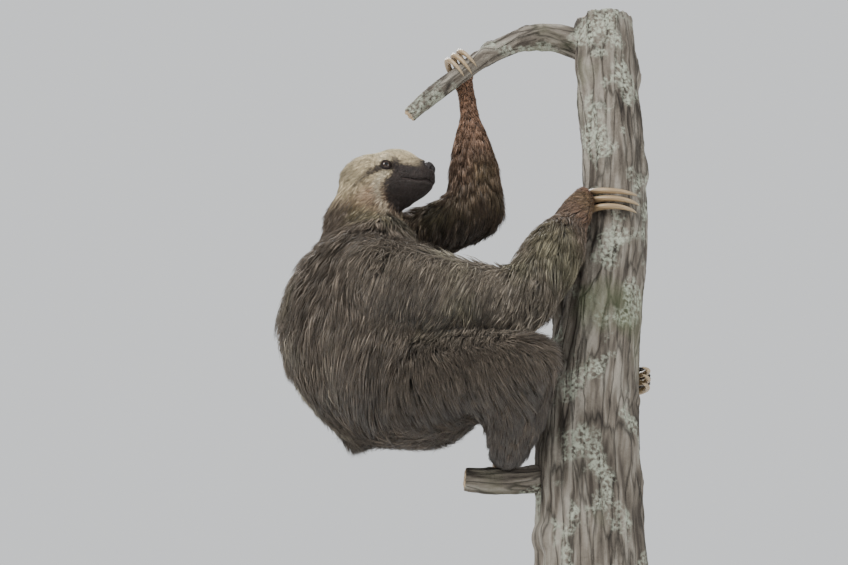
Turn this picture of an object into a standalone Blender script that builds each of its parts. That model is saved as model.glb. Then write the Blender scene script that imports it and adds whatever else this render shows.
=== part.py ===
"""A life-size three-toed sloth that clings to a short length of tree, on a display stand.

Metres, +Z up. The sloth's belly faces +X, its back -X and its right side -Y. The origin is the
middle of the stand's underside. Each piece of flesh is the outer form of the coat: a run of
ellipsoids fused into one skin, then trimmed where it meets the piece that it grows from.
"""

import math

import bmesh
import bpy
from mathutils import Matrix, Vector

# ------------------------------------------------------------------ driving sizes
FIT_GAP = 0.0003  # between two pieces that touch
ORIGIN_SIDES = 16  # segments round an ellipsoid before it is fused

# stand
BASE_SIZE = Vector((0.400, 0.320, 0.026))
BASE_CORNER = 0.045
BASE_EDGE = 0.004
ROD_RADIUS = 0.013
COLLAR_RADIUS = 0.034
COLLAR_HEIGHT = 0.016

# tree: points up the middle of the stem, with the radius at each
STEM = (
    (Vector((0.079, 0.000, 0.262)), 0.0585),
    (Vector((0.080, 0.000, 0.400)), 0.055),
    (Vector((0.084, 0.002, 0.480)), 0.051),
    (Vector((0.098, 0.006, 0.570)), 0.045),
    (Vector((0.112, 0.010, 0.640)), 0.039),
    (Vector((0.119, 0.012, 0.720)), 0.035),
    (Vector((0.118, 0.013, 0.820)), 0.034),
    (Vector((0.116, 0.014, 0.925)), 0.033),
)
BOUGH = (
    (Vector((0.128, 0.016, 0.862)), 0.021),
    (Vector((0.088, 0.020, 0.898)), 0.018),
    (Vector((0.036, 0.023, 0.911)), 0.0145),
    (Vector((-0.012, 0.025, 0.893)), 0.012),
    (Vector((-0.047, 0.026, 0.868)), 0.0108),
    (Vector((-0.084, 0.027, 0.838)), 0.0100),
    (Vector((-0.112, 0.028, 0.812)), 0.0088),
)
STUB = (
    (Vector((0.060, -0.004, 0.386)), 0.017),
    (Vector((0.020, -0.006, 0.379)), 0.0145),
    (Vector((-0.018, -0.008, 0.377)), 0.0135),
    (Vector((-0.052, -0.010, 0.379)), 0.0120),
)

# joints of the animal
CHEST = Vector((-0.150, 0.002, 0.628))
SHOULDER_L = Vector((-0.140, 0.062, 0.658))
ELBOW_L = Vector((-0.033, 0.056, 0.703))
WRIST_L = Vector((-0.041, 0.047, 0.815))
KNUCKLES_L = Vector((-0.047, 0.046, 0.868))
SHOULDER_R = Vector((-0.144, -0.078, 0.582))
ELBOW_R = Vector((0.008, -0.086, 0.550))
WRIST_R = Vector((0.060, -0.048, 0.642))
KNUCKLES_R = Vector((0.077, -0.034, 0.682))
HIP_L = Vector((-0.088, 0.058, 0.476))
KNEE_L = Vector((-0.004, 0.112, 0.545))
ANKLE_L = Vector((0.100, 0.098, 0.498))
TOES_L = Vector((0.146, 0.054, 0.505))
HIP_R = Vector((-0.095, -0.054, 0.470))
KNEE_R = Vector((0.010, -0.120, 0.474))
ANKLE_R = Vector((-0.006, -0.048, 0.404))
TOES_R = Vector((-0.010, -0.014, 0.404))

# head: middle of the skull, the way the face looks, and sizes along the head's own axes
HEAD = Vector((-0.138, -0.006, 0.715))
FACE_TURN = math.radians(-20)  # from +X towards the animal's right
FACE_LIFT = math.radians(6)
EYE_RADIUS = 0.0052
EYE_PLACE = Vector((0.0135, 0.0298, 0.0075))  # forwards, to the side, up
NOSE_PLACE = Vector((0.0592, 0.0, 0.0038))

# claws
FORE_CLAW = 0.068  # length along the outside of the curve
HIND_CLAW = 0.052
# for each paw: the middle of the wood that it holds, the wood's direction, the way from that
# middle to the claws' roots, the way they turn, their arc's radius at root and tip, their
# length, the step from claw to claw and the paw's thickness over their roots
GRIPS = {
    "hand_left": (
        BOUGH[4][0], BOUGH[4][0] - BOUGH[5][0], Vector((0.0, 1.0, 0.55)), 1,
        (0.0205, 0.0180), FORE_CLAW, 0.0092, 0.0105,
    ),
    "hand_right": (
        Vector((0.1165, 0.011, 0.684)), STEM[5][0] - STEM[4][0], Vector((-0.78, -0.62, 0.0)), 1,
        (0.0440, 0.0415), FORE_CLAW, 0.0098, 0.0125,
    ),
    "foot_left": (
        Vector((0.0865, 0.003, 0.497)), STEM[2][0] - STEM[1][0], Vector((0.72, 0.69, 0.0)), -1,
        (0.0575, 0.0560), HIND_CLAW, 0.0092, 0.0120,
    ),
    "foot_right": (
        Vector((-0.010, -0.0075, 0.3775)), STUB[3][0] - STUB[2][0], Vector((0.0, -0.45, 1.0)), 1,
        (0.0215, 0.0195), HIND_CLAW, 0.0088, 0.0115,
    ),
}
ROOT_COVER = 0.005  # how far behind the claws' roots the paw's end is centred
CLAW_DEPTH = 0.0046  # half the depth at the root
CLAW_TIP = 0.0007
CLAW_STEPS = 8

# mesh sizes
TRIANGLES = {
    "torso": 820,
    "head": 740,
    "neck": 260,
    "tail": 120,
    "upper": 250,
    "fore": 310,
    "hand": 190,
}

FUR_GREY = (0.150, 0.122, 0.092)
FUR_ARM = (0.165, 0.112, 0.078)
FUR_FACE = (0.500, 0.410, 0.270)
LEATHER = (0.018, 0.014, 0.013)
HORN = (0.330, 0.235, 0.130)
EYE = (0.022, 0.012, 0.008)
BARK = (0.215, 0.190, 0.160)
STEEL = (0.120, 0.120, 0.125)
BASE_WOOD = (0.045, 0.030, 0.022)


# ------------------------------------------------------------------ scene and helpers
def clear_scene():
    """Removes what the startup file holds."""
    for obj in list(bpy.data.objects):
        bpy.data.objects.remove(obj)


def collection(name):
    """A new collection in the scene."""
    made = bpy.data.collections.new(name)
    bpy.context.scene.collection.children.link(made)
    return made


def material(name, colour, roughness, metallic=0.0):
    """A Principled material of one colour."""
    made = bpy.data.materials.new(name)
    made.use_nodes = True
    shader = made.node_tree.nodes["Principled BSDF"]
    shader.inputs["Base Color"].default_value = (*colour, 1.0)
    shader.inputs["Roughness"].default_value = roughness
    shader.inputs["Metallic"].default_value = metallic
    return made


def new_object(name, mesh, group, look=None):
    """An object for this mesh, shaded smooth, in a collection."""
    obj = bpy.data.objects.new(name, mesh)
    group.objects.link(obj)
    if look:
        mesh.materials.clear()
        mesh.materials.append(look)
    mesh.shade_smooth()
    return obj


def applied(obj):
    """Puts the object's evaluated shape, modifiers and place included, in its mesh."""
    bpy.context.view_layer.update()
    graph = bpy.context.evaluated_depsgraph_get()
    mesh = bpy.data.meshes.new_from_object(obj.evaluated_get(graph))
    mesh.transform(obj.matrix_world)
    obj.modifiers.clear()
    obj.data = mesh
    obj.matrix_world = Matrix.Identity(4)
    return obj


def between(points, share):
    """A point and its sizes at this share, 0 to 1, of a run of (point, size) stations."""
    place = share * (len(points) - 1)
    i = min(int(place), len(points) - 2)
    t = place - i
    before = points[max(i - 1, 0)]
    a, b = points[i], points[i + 1]
    after = points[min(i + 2, len(points) - 1)]

    def curve(p0, p1, p2, p3):
        return 0.5 * (
            2 * p1
            + (p2 - p0) * t
            + (2 * p0 - 5 * p1 + 4 * p2 - p3) * t * t
            + (3 * p1 - p0 - 3 * p2 + p3) * t * t * t
        )

    return (
        curve(before[0], a[0], b[0], after[0]),
        curve(before[1], a[1], b[1], after[1]),
    )


def fused(name, runs, group, look, voxel, faces, smooth=6):
    """One closed skin round runs of ellipsoids.

    A run is (stations, count, turn): count ellipsoids along the (centre, radii) stations,
    each turned by the turn matrix.
    """
    work = bmesh.new()
    for stations, count, turn in runs:
        for k in range(count):
            share = k / (count - 1) if count > 1 else 0.0
            centre, radii = between(stations, share) if len(stations) > 1 else stations[0]
            size = Matrix.Diagonal((*radii, 1.0))
            bmesh.ops.create_uvsphere(
                work,
                u_segments=ORIGIN_SIDES,
                v_segments=ORIGIN_SIDES // 2,
                radius=1.0,
                matrix=Matrix.Translation(centre) @ turn @ size,
            )
    mesh = bpy.data.meshes.new(name)
    work.to_mesh(mesh)
    work.free()
    obj = new_object(name, mesh, group, look)
    remesh = obj.modifiers.new("fuse", "REMESH")
    remesh.mode = "VOXEL"
    remesh.voxel_size = voxel
    relax = obj.modifiers.new("relax", "SMOOTH")
    relax.iterations = smooth
    relax.factor = 0.5
    applied(obj)
    count = sum(len(p.vertices) - 2 for p in obj.data.polygons)
    thin = obj.modifiers.new("thin", "DECIMATE")
    thin.ratio = min(1.0, faces / count)
    applied(obj)
    obj.data.materials.clear()
    obj.data.materials.append(look)
    obj.data.shade_smooth()
    return obj


def round_run(stations, count):
    """A run for fused() whose stations have one radius each."""
    wide = [(Vector(p), Vector((r, r, r))) for p, r in stations]
    return wide, count, Matrix.Identity(4)


def largest_body(obj):
    """Keeps only the largest connected piece of the mesh."""
    work = bmesh.new()
    work.from_mesh(obj.data)
    bmesh.ops.remove_doubles(work, verts=work.verts, dist=1e-6)
    left = set(work.verts)
    best = set()
    while left:
        seed = left.pop()
        island, edge = {seed}, [seed]
        while edge:
            vert = edge.pop()
            for link in vert.link_edges:
                other = link.other_vert(vert)
                if other not in island:
                    island.add(other)
                    edge.append(other)
        left -= island
        if len(island) > len(best):
            best = island
    bmesh.ops.delete(work, geom=[v for v in work.verts if v not in best], context="VERTS")
    work.to_mesh(obj.data)
    work.free()


def boxes_meet(one, other):
    """Whether the boxes round two meshes overlap."""
    spans = []
    for obj in (one, other):
        points = [v.co for v in obj.data.vertices]
        spans.append([(min(p[k] for p in points), max(p[k] for p in points)) for k in range(3)])
    return all(
        spans[0][k][0] - FIT_GAP < spans[1][k][1] and spans[1][k][0] - FIT_GAP < spans[0][k][1]
        for k in range(3)
    )


def trim(obj, *owners):
    """Cuts from obj what the owners' whole forms hold, and leaves the fit gap to them."""
    FORMS.setdefault(obj.name, obj.data.copy())
    for owner in owners:
        if not boxes_meet(obj, owner):
            continue
        whole = FORMS.get(owner.name, owner.data)
        grown = bpy.data.objects.new("cutter", whole.copy())
        CUTTERS.objects.link(grown)
        grown.hide_render = True
        grown.display_type = "WIRE"
        swell = grown.modifiers.new("swell", "DISPLACE")
        swell.strength = FIT_GAP
        swell.mid_level = 0.0
        applied(grown)
        cut = obj.modifiers.new("trim", "BOOLEAN")
        cut.operation = "DIFFERENCE"
        cut.object = grown
        applied(obj)
        largest_body(obj)
        bpy.data.objects.remove(grown)
    obj.data.shade_smooth()
    return obj


def tube(name, stations, group, look, sides=2, ends=True):
    """A tapered round tube along (point, radius) stations."""
    curve = bpy.data.curves.new(name, "CURVE")
    curve.dimensions = "3D"
    curve.bevel_depth = 1.0
    curve.bevel_resolution = sides
    curve.use_fill_caps = ends
    spline = curve.splines.new("POLY")
    spline.points.add(len(stations) - 1)
    for point, (place, radius) in zip(spline.points, stations):
        point.co = (*place, 1.0)
        point.radius = radius
    guide = bpy.data.objects.new(name + "_line", curve)
    group.objects.link(guide)
    bpy.context.view_layer.update()
    graph = bpy.context.evaluated_depsgraph_get()
    mesh = bpy.data.meshes.new_from_object(guide.evaluated_get(graph))
    bpy.data.objects.remove(guide)
    work = bmesh.new()
    work.from_mesh(mesh)
    bmesh.ops.remove_doubles(work, verts=work.verts, dist=1e-5)
    bmesh.ops.recalc_face_normals(work, faces=work.faces)
    work.to_mesh(mesh)
    work.free()
    return new_object(name, mesh, group, look)


def smooth_stations(stations, count):
    """The stations read again at count even shares of a smooth curve."""
    return [between(stations, k / (count - 1)) for k in range(count)]


# ------------------------------------------------------------------ stand and tree
def build_stand():
    """A rounded plate, a collar and a rod up to the foot of the stem."""
    work = bmesh.new()
    bmesh.ops.create_cube(
        work,
        size=1.0,
        matrix=Matrix.Translation((0, 0, BASE_SIZE.z / 2))
        @ Matrix.Diagonal((*BASE_SIZE, 1.0)),
    )
    upright = [e for e in work.edges if abs(e.verts[0].co.z - e.verts[1].co.z) > 0.001]
    bmesh.ops.bevel(
        work,
        geom=upright,
        offset=BASE_CORNER,
        offset_type="OFFSET",
        segments=6,
        profile=0.5,
        affect="EDGES",
        material=-1,
    )
    mesh = bpy.data.meshes.new("stand_base")
    work.to_mesh(mesh)
    work.free()
    base = new_object("stand_base", mesh, PARTS, material("base_wood", BASE_WOOD, 0.45))
    edge = base.modifiers.new("edge", "BEVEL")
    edge.width = BASE_EDGE
    edge.segments = 2
    edge.limit_method = "ANGLE"
    edge.angle_limit = math.radians(60)
    foot = STEM[0][0]
    low = BASE_SIZE.z + FIT_GAP
    steel = material("steel", STEEL, 0.4, 1.0)
    for name, radius, z0, z1, hole in (
        ("stand_collar", COLLAR_RADIUS, low, low + COLLAR_HEIGHT, ROD_RADIUS + FIT_GAP),
        ("stand_rod", ROD_RADIUS, low, foot.z - FIT_GAP, 0.0),
    ):
        work = bmesh.new()
        bmesh.ops.create_cone(
            work,
            cap_ends=True,
            segments=24,
            radius1=radius,
            radius2=radius,
            depth=z1 - z0,
            matrix=Matrix.Translation((foot.x, foot.y, (z0 + z1) / 2)),
        )
        mesh = bpy.data.meshes.new(name)
        work.to_mesh(mesh)
        work.free()
        piece = new_object(name, mesh, PARTS, steel)
        if hole:
            round_off = piece.modifiers.new("edge", "BEVEL")
            round_off.width = 0.002
            round_off.segments = 1
            applied(piece)
            work = bmesh.new()
            bmesh.ops.create_cone(
                work,
                cap_ends=True,
                segments=24,
                radius1=hole,
                radius2=hole,
                depth=0.1,
                matrix=Matrix.Translation((foot.x, foot.y, (z0 + z1) / 2)),
            )
            bore = bpy.data.meshes.new("bore")
            work.to_mesh(bore)
            work.free()
            cutter = bpy.data.objects.new("bore", bore)
            CUTTERS.objects.link(cutter)
            cutter.hide_render = True
            cutter.display_type = "WIRE"
            cut = piece.modifiers.new("bore", "BOOLEAN")
            cut.operation = "DIFFERENCE"
            cut.object = cutter
            applied(piece)
            bpy.data.objects.remove(cutter)


def build_tree():
    """The stem, the bough that the raised hand holds and the stub under the rump."""
    bark = material("bark", BARK, 0.9)
    stem = tube("perch_stem", smooth_stations(STEM, 15), PARTS, bark, sides=4)
    bough = trim(tube("perch_bough", smooth_stations(BOUGH, 13), PARTS, bark), stem)
    stub = trim(tube("perch_stub", smooth_stations(STUB, 6), PARTS, bark), stem)
    return stem, bough, stub


# ------------------------------------------------------------------ animal
def head_frame():
    """The head's own axes: +X out of the face, +Y to the animal's left, +Z up."""
    return (
        Matrix.Translation(HEAD)
        @ Matrix.Rotation(FACE_TURN, 4, "Z")
        @ Matrix.Rotation(-FACE_LIFT, 4, "Y")
    )


def build_head(look, leather, glass):
    """The skull's round form, cheeks, blunt muzzle, nose pad and eyes."""
    frame = head_frame()
    turn = frame.to_3x3().to_4x4()

    def at(x, y, z):
        return frame @ Vector((x, y, z))

    runs = [
        ([(at(-0.014, 0, 0.000), Vector((0.0450, 0.0430, 0.0385)))], 1, turn),
        ([(at(0.006, 0, 0.004), Vector((0.0420, 0.0345, 0.0345)))], 1, turn),
        ([(at(-0.013, 0, -0.011), Vector((0.0480, 0.0445, 0.0290)))], 1, turn),
        (
            [
                (at(0.018, 0, -0.003), Vector((0.0290, 0.0290, 0.0275))),
                (at(0.034, 0, -0.004), Vector((0.0220, 0.0225, 0.0230))),
                (at(0.0430, 0, -0.002), Vector((0.0165, 0.0188, 0.0192))),
            ],
            5,
            turn,
        ),
    ]
    head = fused("head", runs, PARTS, look, 0.0028, TRIANGLES["head"], smooth=5)
    nose_run = [
        (
            [
                (frame @ (NOSE_PLACE + Vector((-0.008, 0, 0.001))), Vector((0.007, 0.0105, 0.0070))),
                (frame @ (NOSE_PLACE + Vector((-0.006, 0, -0.003))), Vector((0.007, 0.0090, 0.0065))),
            ],
            2,
            turn,
        )
    ]
    nose = fused("nose", nose_run, PARTS, leather, 0.0012, 160, smooth=2)
    trim(nose, head)
    eyes = []
    for side, name in ((1, "eye_left"), (-1, "eye_right")):
        place = frame @ Vector((EYE_PLACE.x, side * EYE_PLACE.y, EYE_PLACE.z))
        work = bmesh.new()
        bmesh.ops.create_uvsphere(
            work,
            u_segments=12,
            v_segments=8,
            radius=EYE_RADIUS,
            matrix=Matrix.Translation(place) @ turn,
        )
        mesh = bpy.data.meshes.new(name)
        work.to_mesh(mesh)
        work.free()
        eyes.append(new_object(name, mesh, PARTS, glass))
    trim(head, *eyes)
    return head


def build_trunk(look):
    """The torso from the chest round the belly to the rump, the neck and the tail."""
    turn = Matrix.Identity(4)
    torso = fused(
        "torso",
        [
            (
                [
                    (CHEST + Vector((0.006, 0, 0.010)), Vector((0.056, 0.070, 0.050))),
                    (Vector((-0.166, 0.000, 0.592)), Vector((0.080, 0.090, 0.072))),
                    (Vector((-0.170, 0.000, 0.540)), Vector((0.092, 0.100, 0.076))),
                    (Vector((-0.142, 0.002, 0.494)), Vector((0.090, 0.098, 0.076))),
                    (Vector((-0.092, 0.002, 0.472)), Vector((0.070, 0.082, 0.062))),
                ],
                11,
                turn,
            ),
            (
                [
                    (SHOULDER_L + Vector((-0.008, -0.016, -0.016)), Vector((0.042, 0.040, 0.040))),
                    (SHOULDER_R + Vector((-0.010, 0.026, 0)), Vector((0.048, 0.042, 0.048))),
                ],
                2,
                turn,
            ),
        ],
        PARTS,
        look,
        0.0055,
        TRIANGLES["torso"],
        smooth=10,
    )
    return torso


def build_neck(look):
    """The short neck, thick with fur, between the chest and the back of the head."""
    return fused(
        "neck",
        [
            (
                [
                    (CHEST + Vector((-0.006, 0, 0.008)), Vector((0.060, 0.058, 0.050))),
                    (CHEST + Vector((-0.012, 0.002, 0.030)), Vector((0.053, 0.048, 0.041))),
                    (HEAD + Vector((-0.026, 0.004, -0.020)), Vector((0.037, 0.039, 0.034))),
                ],
                6,
                Matrix.Identity(4),
            )
        ],
        PARTS,
        look,
        0.0042,
        TRIANGLES["neck"],
    )


def build_tail(look):
    """The stub of a tail, pressed down under the rump."""
    return fused(
        "tail",
        [
            round_run(
                (
                    (Vector((-0.140, 0.004, 0.444)), 0.025),
                    (Vector((-0.162, 0.006, 0.434)), 0.021),
                    (Vector((-0.180, 0.008, 0.431)), 0.014),
                ),
                5,
            )
        ],
        PARTS,
        look,
        0.0040,
        TRIANGLES["tail"],
    )


def claw_places(grip):
    """Where the three claws of a paw start, and the way across the paw from one to the next."""
    centre, axis, start, _, reach, _, step, _ = grip
    axis = axis.normalized()
    out = (start - axis * start.dot(axis)).normalized()
    return [centre + axis * step * k + out * reach[0] for k in (-1, 0, 1)], axis * step


def paw_end(name, knuckles):
    """The paw's broad end, a run across it just behind the claws' roots."""
    grip = GRIPS[name]
    roots, step = claw_places(grip)
    back = (knuckles - roots[1]).normalized() * ROOT_COVER
    return round_run([(roots[0] + back, grip[-1]), (roots[2] + back, grip[-1])], 4)


def limb(names, joints, radii, looks):
    """Upper, lower and end pieces of a limb, each a run between its joints."""
    made = []
    kinds = ("upper", "fore", "hand")
    for i, name in enumerate(names):
        stations = radii[i]
        start, end = joints[i], joints[i + 1]
        run = [(start.lerp(end, share), radius) for share, radius in stations]
        voxel = (0.0048, 0.0042, 0.0030)[i]
        runs = [round_run(run, 9)]
        if name in GRIPS:
            roots, _ = claw_places(GRIPS[name])
            palm = [(end, stations[-1][1]), (roots[1], GRIPS[name][-1])]
            runs += [paw_end(name, end), round_run(palm, 4)]
        made.append(fused(name, runs, PARTS, looks[i], voxel, TRIANGLES[kinds[i]]))
    return made


def arc_claw(name, centre, axis, start, sweep, reach, length, look):
    """A claw along an arc round an axis, drawn out to a point.

    start is the direction from the centre to the root; reach is the arc's radius at the root
    and at the tip; the sweep follows the length.
    """
    axis = axis.normalized()
    flat = (start - axis * start.dot(axis)).normalized()
    side = axis.cross(flat) * (1 if sweep > 0 else -1)
    angle = length / (sum(reach) / 2)
    stations = []
    for k in range(CLAW_STEPS):
        share = k / (CLAW_STEPS - 1)
        turn = angle * share
        radius = reach[0] + (reach[1] - reach[0]) * share
        place = centre + (flat * math.cos(turn) + side * math.sin(turn)) * radius
        thick = CLAW_TIP + (CLAW_DEPTH - CLAW_TIP) * (1 - share**1.6) ** 0.8
        stations.append((place, thick))
    return tube(name, stations, PARTS, look, sides=1)


def claws(paw, look):
    """Three claws side by side on a paw, the middle one a little longer."""
    centre, axis, start, sweep, reach, length, step, _ = GRIPS[paw]
    made = []
    for k, share in enumerate((-1, 0, 1)):
        size = length * (1.0 if share == 0 else 0.94)
        middle = centre + axis.normalized() * step * share
        name = f"claw_{paw}_{k + 1}"
        made.append(arc_claw(name, middle, axis, start, sweep, reach, size, look))
    return made


def build_animal(stem, bough, stub):
    """All of the sloth, trimmed piece by piece from the middle outwards."""
    grey = material("coat_grey", FUR_GREY, 0.85)
    warm = material("coat_arm", FUR_ARM, 0.85)
    pale = material("coat_face", FUR_FACE, 0.85)
    leather = material("nose_leather", LEATHER, 0.35)
    horn = material("claw_horn", HORN, 0.45)
    glass = material("eye_dark", EYE, 0.1)
    tree = (stem, bough, stub)

    head = build_head(pale, leather, glass)
    torso = trim(build_trunk(grey), head, stem)
    neck = trim(build_neck(grey), torso, head)
    tail = trim(build_tail(grey), torso)

    arm_looks = (grey, grey, warm)
    arm_l = limb(
        ("upper_arm_left", "forearm_left", "hand_left"),
        (SHOULDER_L, ELBOW_L, WRIST_L, KNUCKLES_L),
        (
            ((0.0, 0.042), (0.5, 0.037), (1.0, 0.0385)),
            ((0.0, 0.0345), (0.3, 0.0375), (0.62, 0.0290), (1.0, 0.0165)),
            ((-0.1, 0.0150), (0.5, 0.0125), (1.0, 0.0110)),
        ),
        (grey, warm, warm),
    )
    arm_r = limb(
        ("upper_arm_right", "forearm_right", "hand_right"),
        (SHOULDER_R, ELBOW_R, WRIST_R, KNUCKLES_R),
        (
            ((0.0, 0.048), (0.5, 0.043), (1.0, 0.0395)),
            ((0.0, 0.0340), (0.4, 0.0395), (0.75, 0.0370), (1.0, 0.0280)),
            ((-0.1, 0.0260), (0.5, 0.0215), (1.0, 0.0165)),
        ),
        arm_looks,
    )
    leg_l = limb(
        ("thigh_left", "shin_left", "foot_left"),
        (HIP_L, KNEE_L, ANKLE_L, TOES_L),
        (
            ((0.0, 0.056), (0.5, 0.047), (1.0, 0.039)),
            ((0.0, 0.0335), (0.5, 0.034), (1.0, 0.026)),
            ((-0.1, 0.0235), (0.5, 0.0195), (1.0, 0.0155)),
        ),
        (grey, grey, grey),
    )
    leg_r = limb(
        ("thigh_right", "shin_right", "foot_right"),
        (HIP_R, KNEE_R, ANKLE_R, TOES_R),
        (
            ((0.0, 0.058), (0.5, 0.049), (1.0, 0.041)),
            ((0.0, 0.0345), (0.5, 0.034), (1.0, 0.0245)),
            ((-0.1, 0.0215), (0.5, 0.0175), (1.0, 0.0145)),
        ),
        (grey, grey, grey),
    )
    core = (torso, head, neck)
    for upper, lower, end in (arm_l, arm_r, leg_l, leg_r):
        trim(upper, *core, *tree)
        trim(lower, upper, *core, *tree)
        trim(end, lower, upper, torso, *tree)
    trim(leg_r[0], arm_r[0], arm_r[1])
    trim(leg_r[1], arm_r[0], arm_r[1])
    trim(tail, leg_l[0], leg_r[0])
    return arm_l, arm_r, leg_l, leg_r, horn


def build_claws(limbs, horn, tree):
    """Three hooked claws for each hand and foot, round the wood that it holds."""
    for paw, pieces in zip(GRIPS, limbs):
        for claw in claws(paw, horn):
            trim(claw, *pieces, *tree)


def main():
    tree = build_tree()
    build_stand()
    *limbs, horn = build_animal(*tree)
    build_claws(limbs, horn, tree)


clear_scene()
PARTS = collection("three_toed_sloth")
CUTTERS = collection("cutters")
FORMS = {}  # each trimmed piece's mesh as it was before its first trim
main()
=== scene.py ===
"""Looks of a life-size three-toed sloth that clings to a cut length of tree on a display stand.

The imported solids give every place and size. One skin is grown from the solids of the body, sunk
by the depth of the coat and modelled at the face, and the coat is combed over it in tufts. The
wood, claws, eyes, nose and stand are dressed as pieces of their own.
"""

from __future__ import annotations

import logging
import math
from collections.abc import Iterable
from dataclasses import dataclass
from enum import Enum

import bmesh
import bpy
import numpy as np
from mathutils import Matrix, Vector, noise
from mathutils.bvhtree import BVHTree
from mathutils.kdtree import KDTree


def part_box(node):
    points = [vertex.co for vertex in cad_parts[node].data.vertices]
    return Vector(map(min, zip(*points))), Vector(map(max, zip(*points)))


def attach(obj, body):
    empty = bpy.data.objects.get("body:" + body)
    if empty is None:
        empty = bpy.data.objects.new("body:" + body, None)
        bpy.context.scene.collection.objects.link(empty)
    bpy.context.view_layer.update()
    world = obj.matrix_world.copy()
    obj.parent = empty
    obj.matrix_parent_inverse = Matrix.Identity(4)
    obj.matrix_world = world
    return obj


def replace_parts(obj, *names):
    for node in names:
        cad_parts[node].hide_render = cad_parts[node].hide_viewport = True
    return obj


LOG = logging.getLogger("sloth")
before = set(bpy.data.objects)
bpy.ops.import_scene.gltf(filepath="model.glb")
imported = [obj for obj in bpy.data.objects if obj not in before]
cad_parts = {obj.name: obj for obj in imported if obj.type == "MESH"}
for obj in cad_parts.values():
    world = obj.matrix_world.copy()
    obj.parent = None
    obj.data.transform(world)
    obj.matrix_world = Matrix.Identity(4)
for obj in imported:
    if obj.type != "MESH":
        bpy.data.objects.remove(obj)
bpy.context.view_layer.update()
ROOT = "root"
SEED = 41
UV_NAME = "OFBake"
TINT = "tint"
GRAIN = "grain"
CUT = "cut"
PATCH = 0.003  # side of one tuft's place on the coat's map
NOISE_STEPS = (7.31, 3.17, 5.03)  # how far one seed's noise lies from the next one's
DOWN = np.array([0.0, 0.0, -1.0])

Array = np.ndarray
Mesh = bpy.types.Mesh
Material = bpy.types.Material
Socket = bpy.types.NodeSocket
Colour = tuple[float, float, float]  # linear red, green and blue
Pair = tuple[float, float]
Triple = tuple[float, float, float]
Roots = dict[str, np.ndarray]  # what the coat does at each root, by what it is


class Side(Enum):
    """The animal's own sides, with the sign of Y on each."""

    LEFT = 1
    RIGHT = -1


class Wave(Enum):
    """What each noise over places is for, with its seed."""

    FURROWS = 2
    MARKING_EDGES = 3
    SHADES = 5
    WOOD_SWELL = 6
    KNOTS = 8
    BLOTCHES = 9
    ALGAE = 12
    SWIRLS = 17
    RIPPLES = 23
    SPLINTERS = 31


class Limb(Enum):
    """The parts of a limb, from the body outwards."""

    ARM = ("upper_arm", "forearm", "hand")
    LEG = ("thigh", "shin", "foot")

    def parts(self, side: Side) -> tuple[str, ...]:
        """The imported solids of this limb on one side."""
        return tuple(f"{part}_{side.name.lower()}" for part in self.value)


# ---------- arrays and meshes
def unit(rows: Array) -> Array:
    """One vector or rows of vectors at length one."""
    return rows / np.maximum(np.linalg.norm(rows, axis=-1, keepdims=True), 1e-9)


def ease(values: Array, low: float, high: float) -> Array:
    """0 below low, 1 above high and a smooth step between; high may be the lower one."""
    share = np.clip((values - low) / (high - low), 0.0, 1.0)
    return share * share * (3.0 - 2.0 * share)


def bell(values: Array, width: float) -> Array:
    """1 at nought, fading on both sides over a width."""
    return np.exp(-((values / width) ** 2))


def mix(a: Array | Colour, b: Array | Colour, share: Array) -> Array:
    """Rows, or one colour, turned into others by a share for each row."""
    a, b = np.asarray(a), np.asarray(b)
    return a + (b - a) * share[:, None]


def waves(points: Array, size: float, which: Wave, octaves: int = 2) -> Array:
    """Smooth noise over places.

    Args:
        points: Rows of places.
        size: The size of its features in metres.
        which: What the noise is for.
        octaves: How many layers it has, each finer than the last.

    Returns:
        About -1 to 1 for each place.
    """
    shift = Vector([which.value * step for step in NOISE_STEPS])
    found = (noise.fractal(Vector(p) / size + shift, 1.0, 2.0, octaves) for p in points.tolist())
    return np.fromiter(found, float, len(points))


def read_rows(items: bpy.types.bpy_prop_collection, key: str, size: int, kind: type) -> Array:
    """Reads one property of all the elements of a mesh.

    Args:
        items: The vertices, edges or other elements.
        key: The property's name.
        size: How many numbers it has for each.
        kind: Whether they are float or int.

    Returns:
        A row for each element.
    """
    rows = np.empty(len(items) * size, dtype=kind)
    items.foreach_get(key, rows)
    return rows.reshape(-1, size)


def node_points(name: str) -> Array:
    """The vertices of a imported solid."""
    return read_rows(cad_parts[name].data.vertices, "co", 3, float)


def node_middle(name: str) -> Array:
    """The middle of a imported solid's box."""
    low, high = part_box(name)
    return (np.array(low) + np.array(high)) / 2


def mesh_arrays(mesh: Mesh) -> tuple[Array, Array]:
    """A mesh's vertex places and normals."""
    places = read_rows(mesh.vertices, "co", 3, float)
    return places, read_rows(mesh.vertex_normals, "vector", 3, float)


def move_points(mesh: Mesh, places: Array) -> None:
    """Puts a mesh's vertices at these places."""
    mesh.vertices.foreach_set("co", places.ravel())
    mesh.update()


def set_tint(mesh: Mesh, colours: Array, name: str = TINT) -> None:
    """Stores one linear colour for each vertex.

    Args:
        mesh: The mesh that carries them.
        colours: A row for each vertex.
        name: What the finish reads them by.
    """
    layer = mesh.color_attributes.new(name, "FLOAT_COLOR", "POINT")
    rows = np.ones((len(colours), 4))
    rows[:, :3] = np.clip(colours, 0.0, 1.0)
    layer.data.foreach_set("color", rows.ravel())


def set_grain(mesh: Mesh, rows: Array) -> None:
    """Stores each vertex's place across and along the grain."""
    layer = mesh.attributes.new(GRAIN, "FLOAT_VECTOR", "POINT")
    layer.data.foreach_set("vector", rows.ravel())


def to_mesh(work: bmesh.types.BMesh, name: str) -> Mesh:
    """Turns finished work into a mesh and frees it.

    Args:
        work: The finished work.
        name: The mesh's name.

    Returns:
        The new mesh.
    """
    mesh = bpy.data.meshes.new(name)
    work.to_mesh(mesh)
    work.free()
    return mesh


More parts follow.
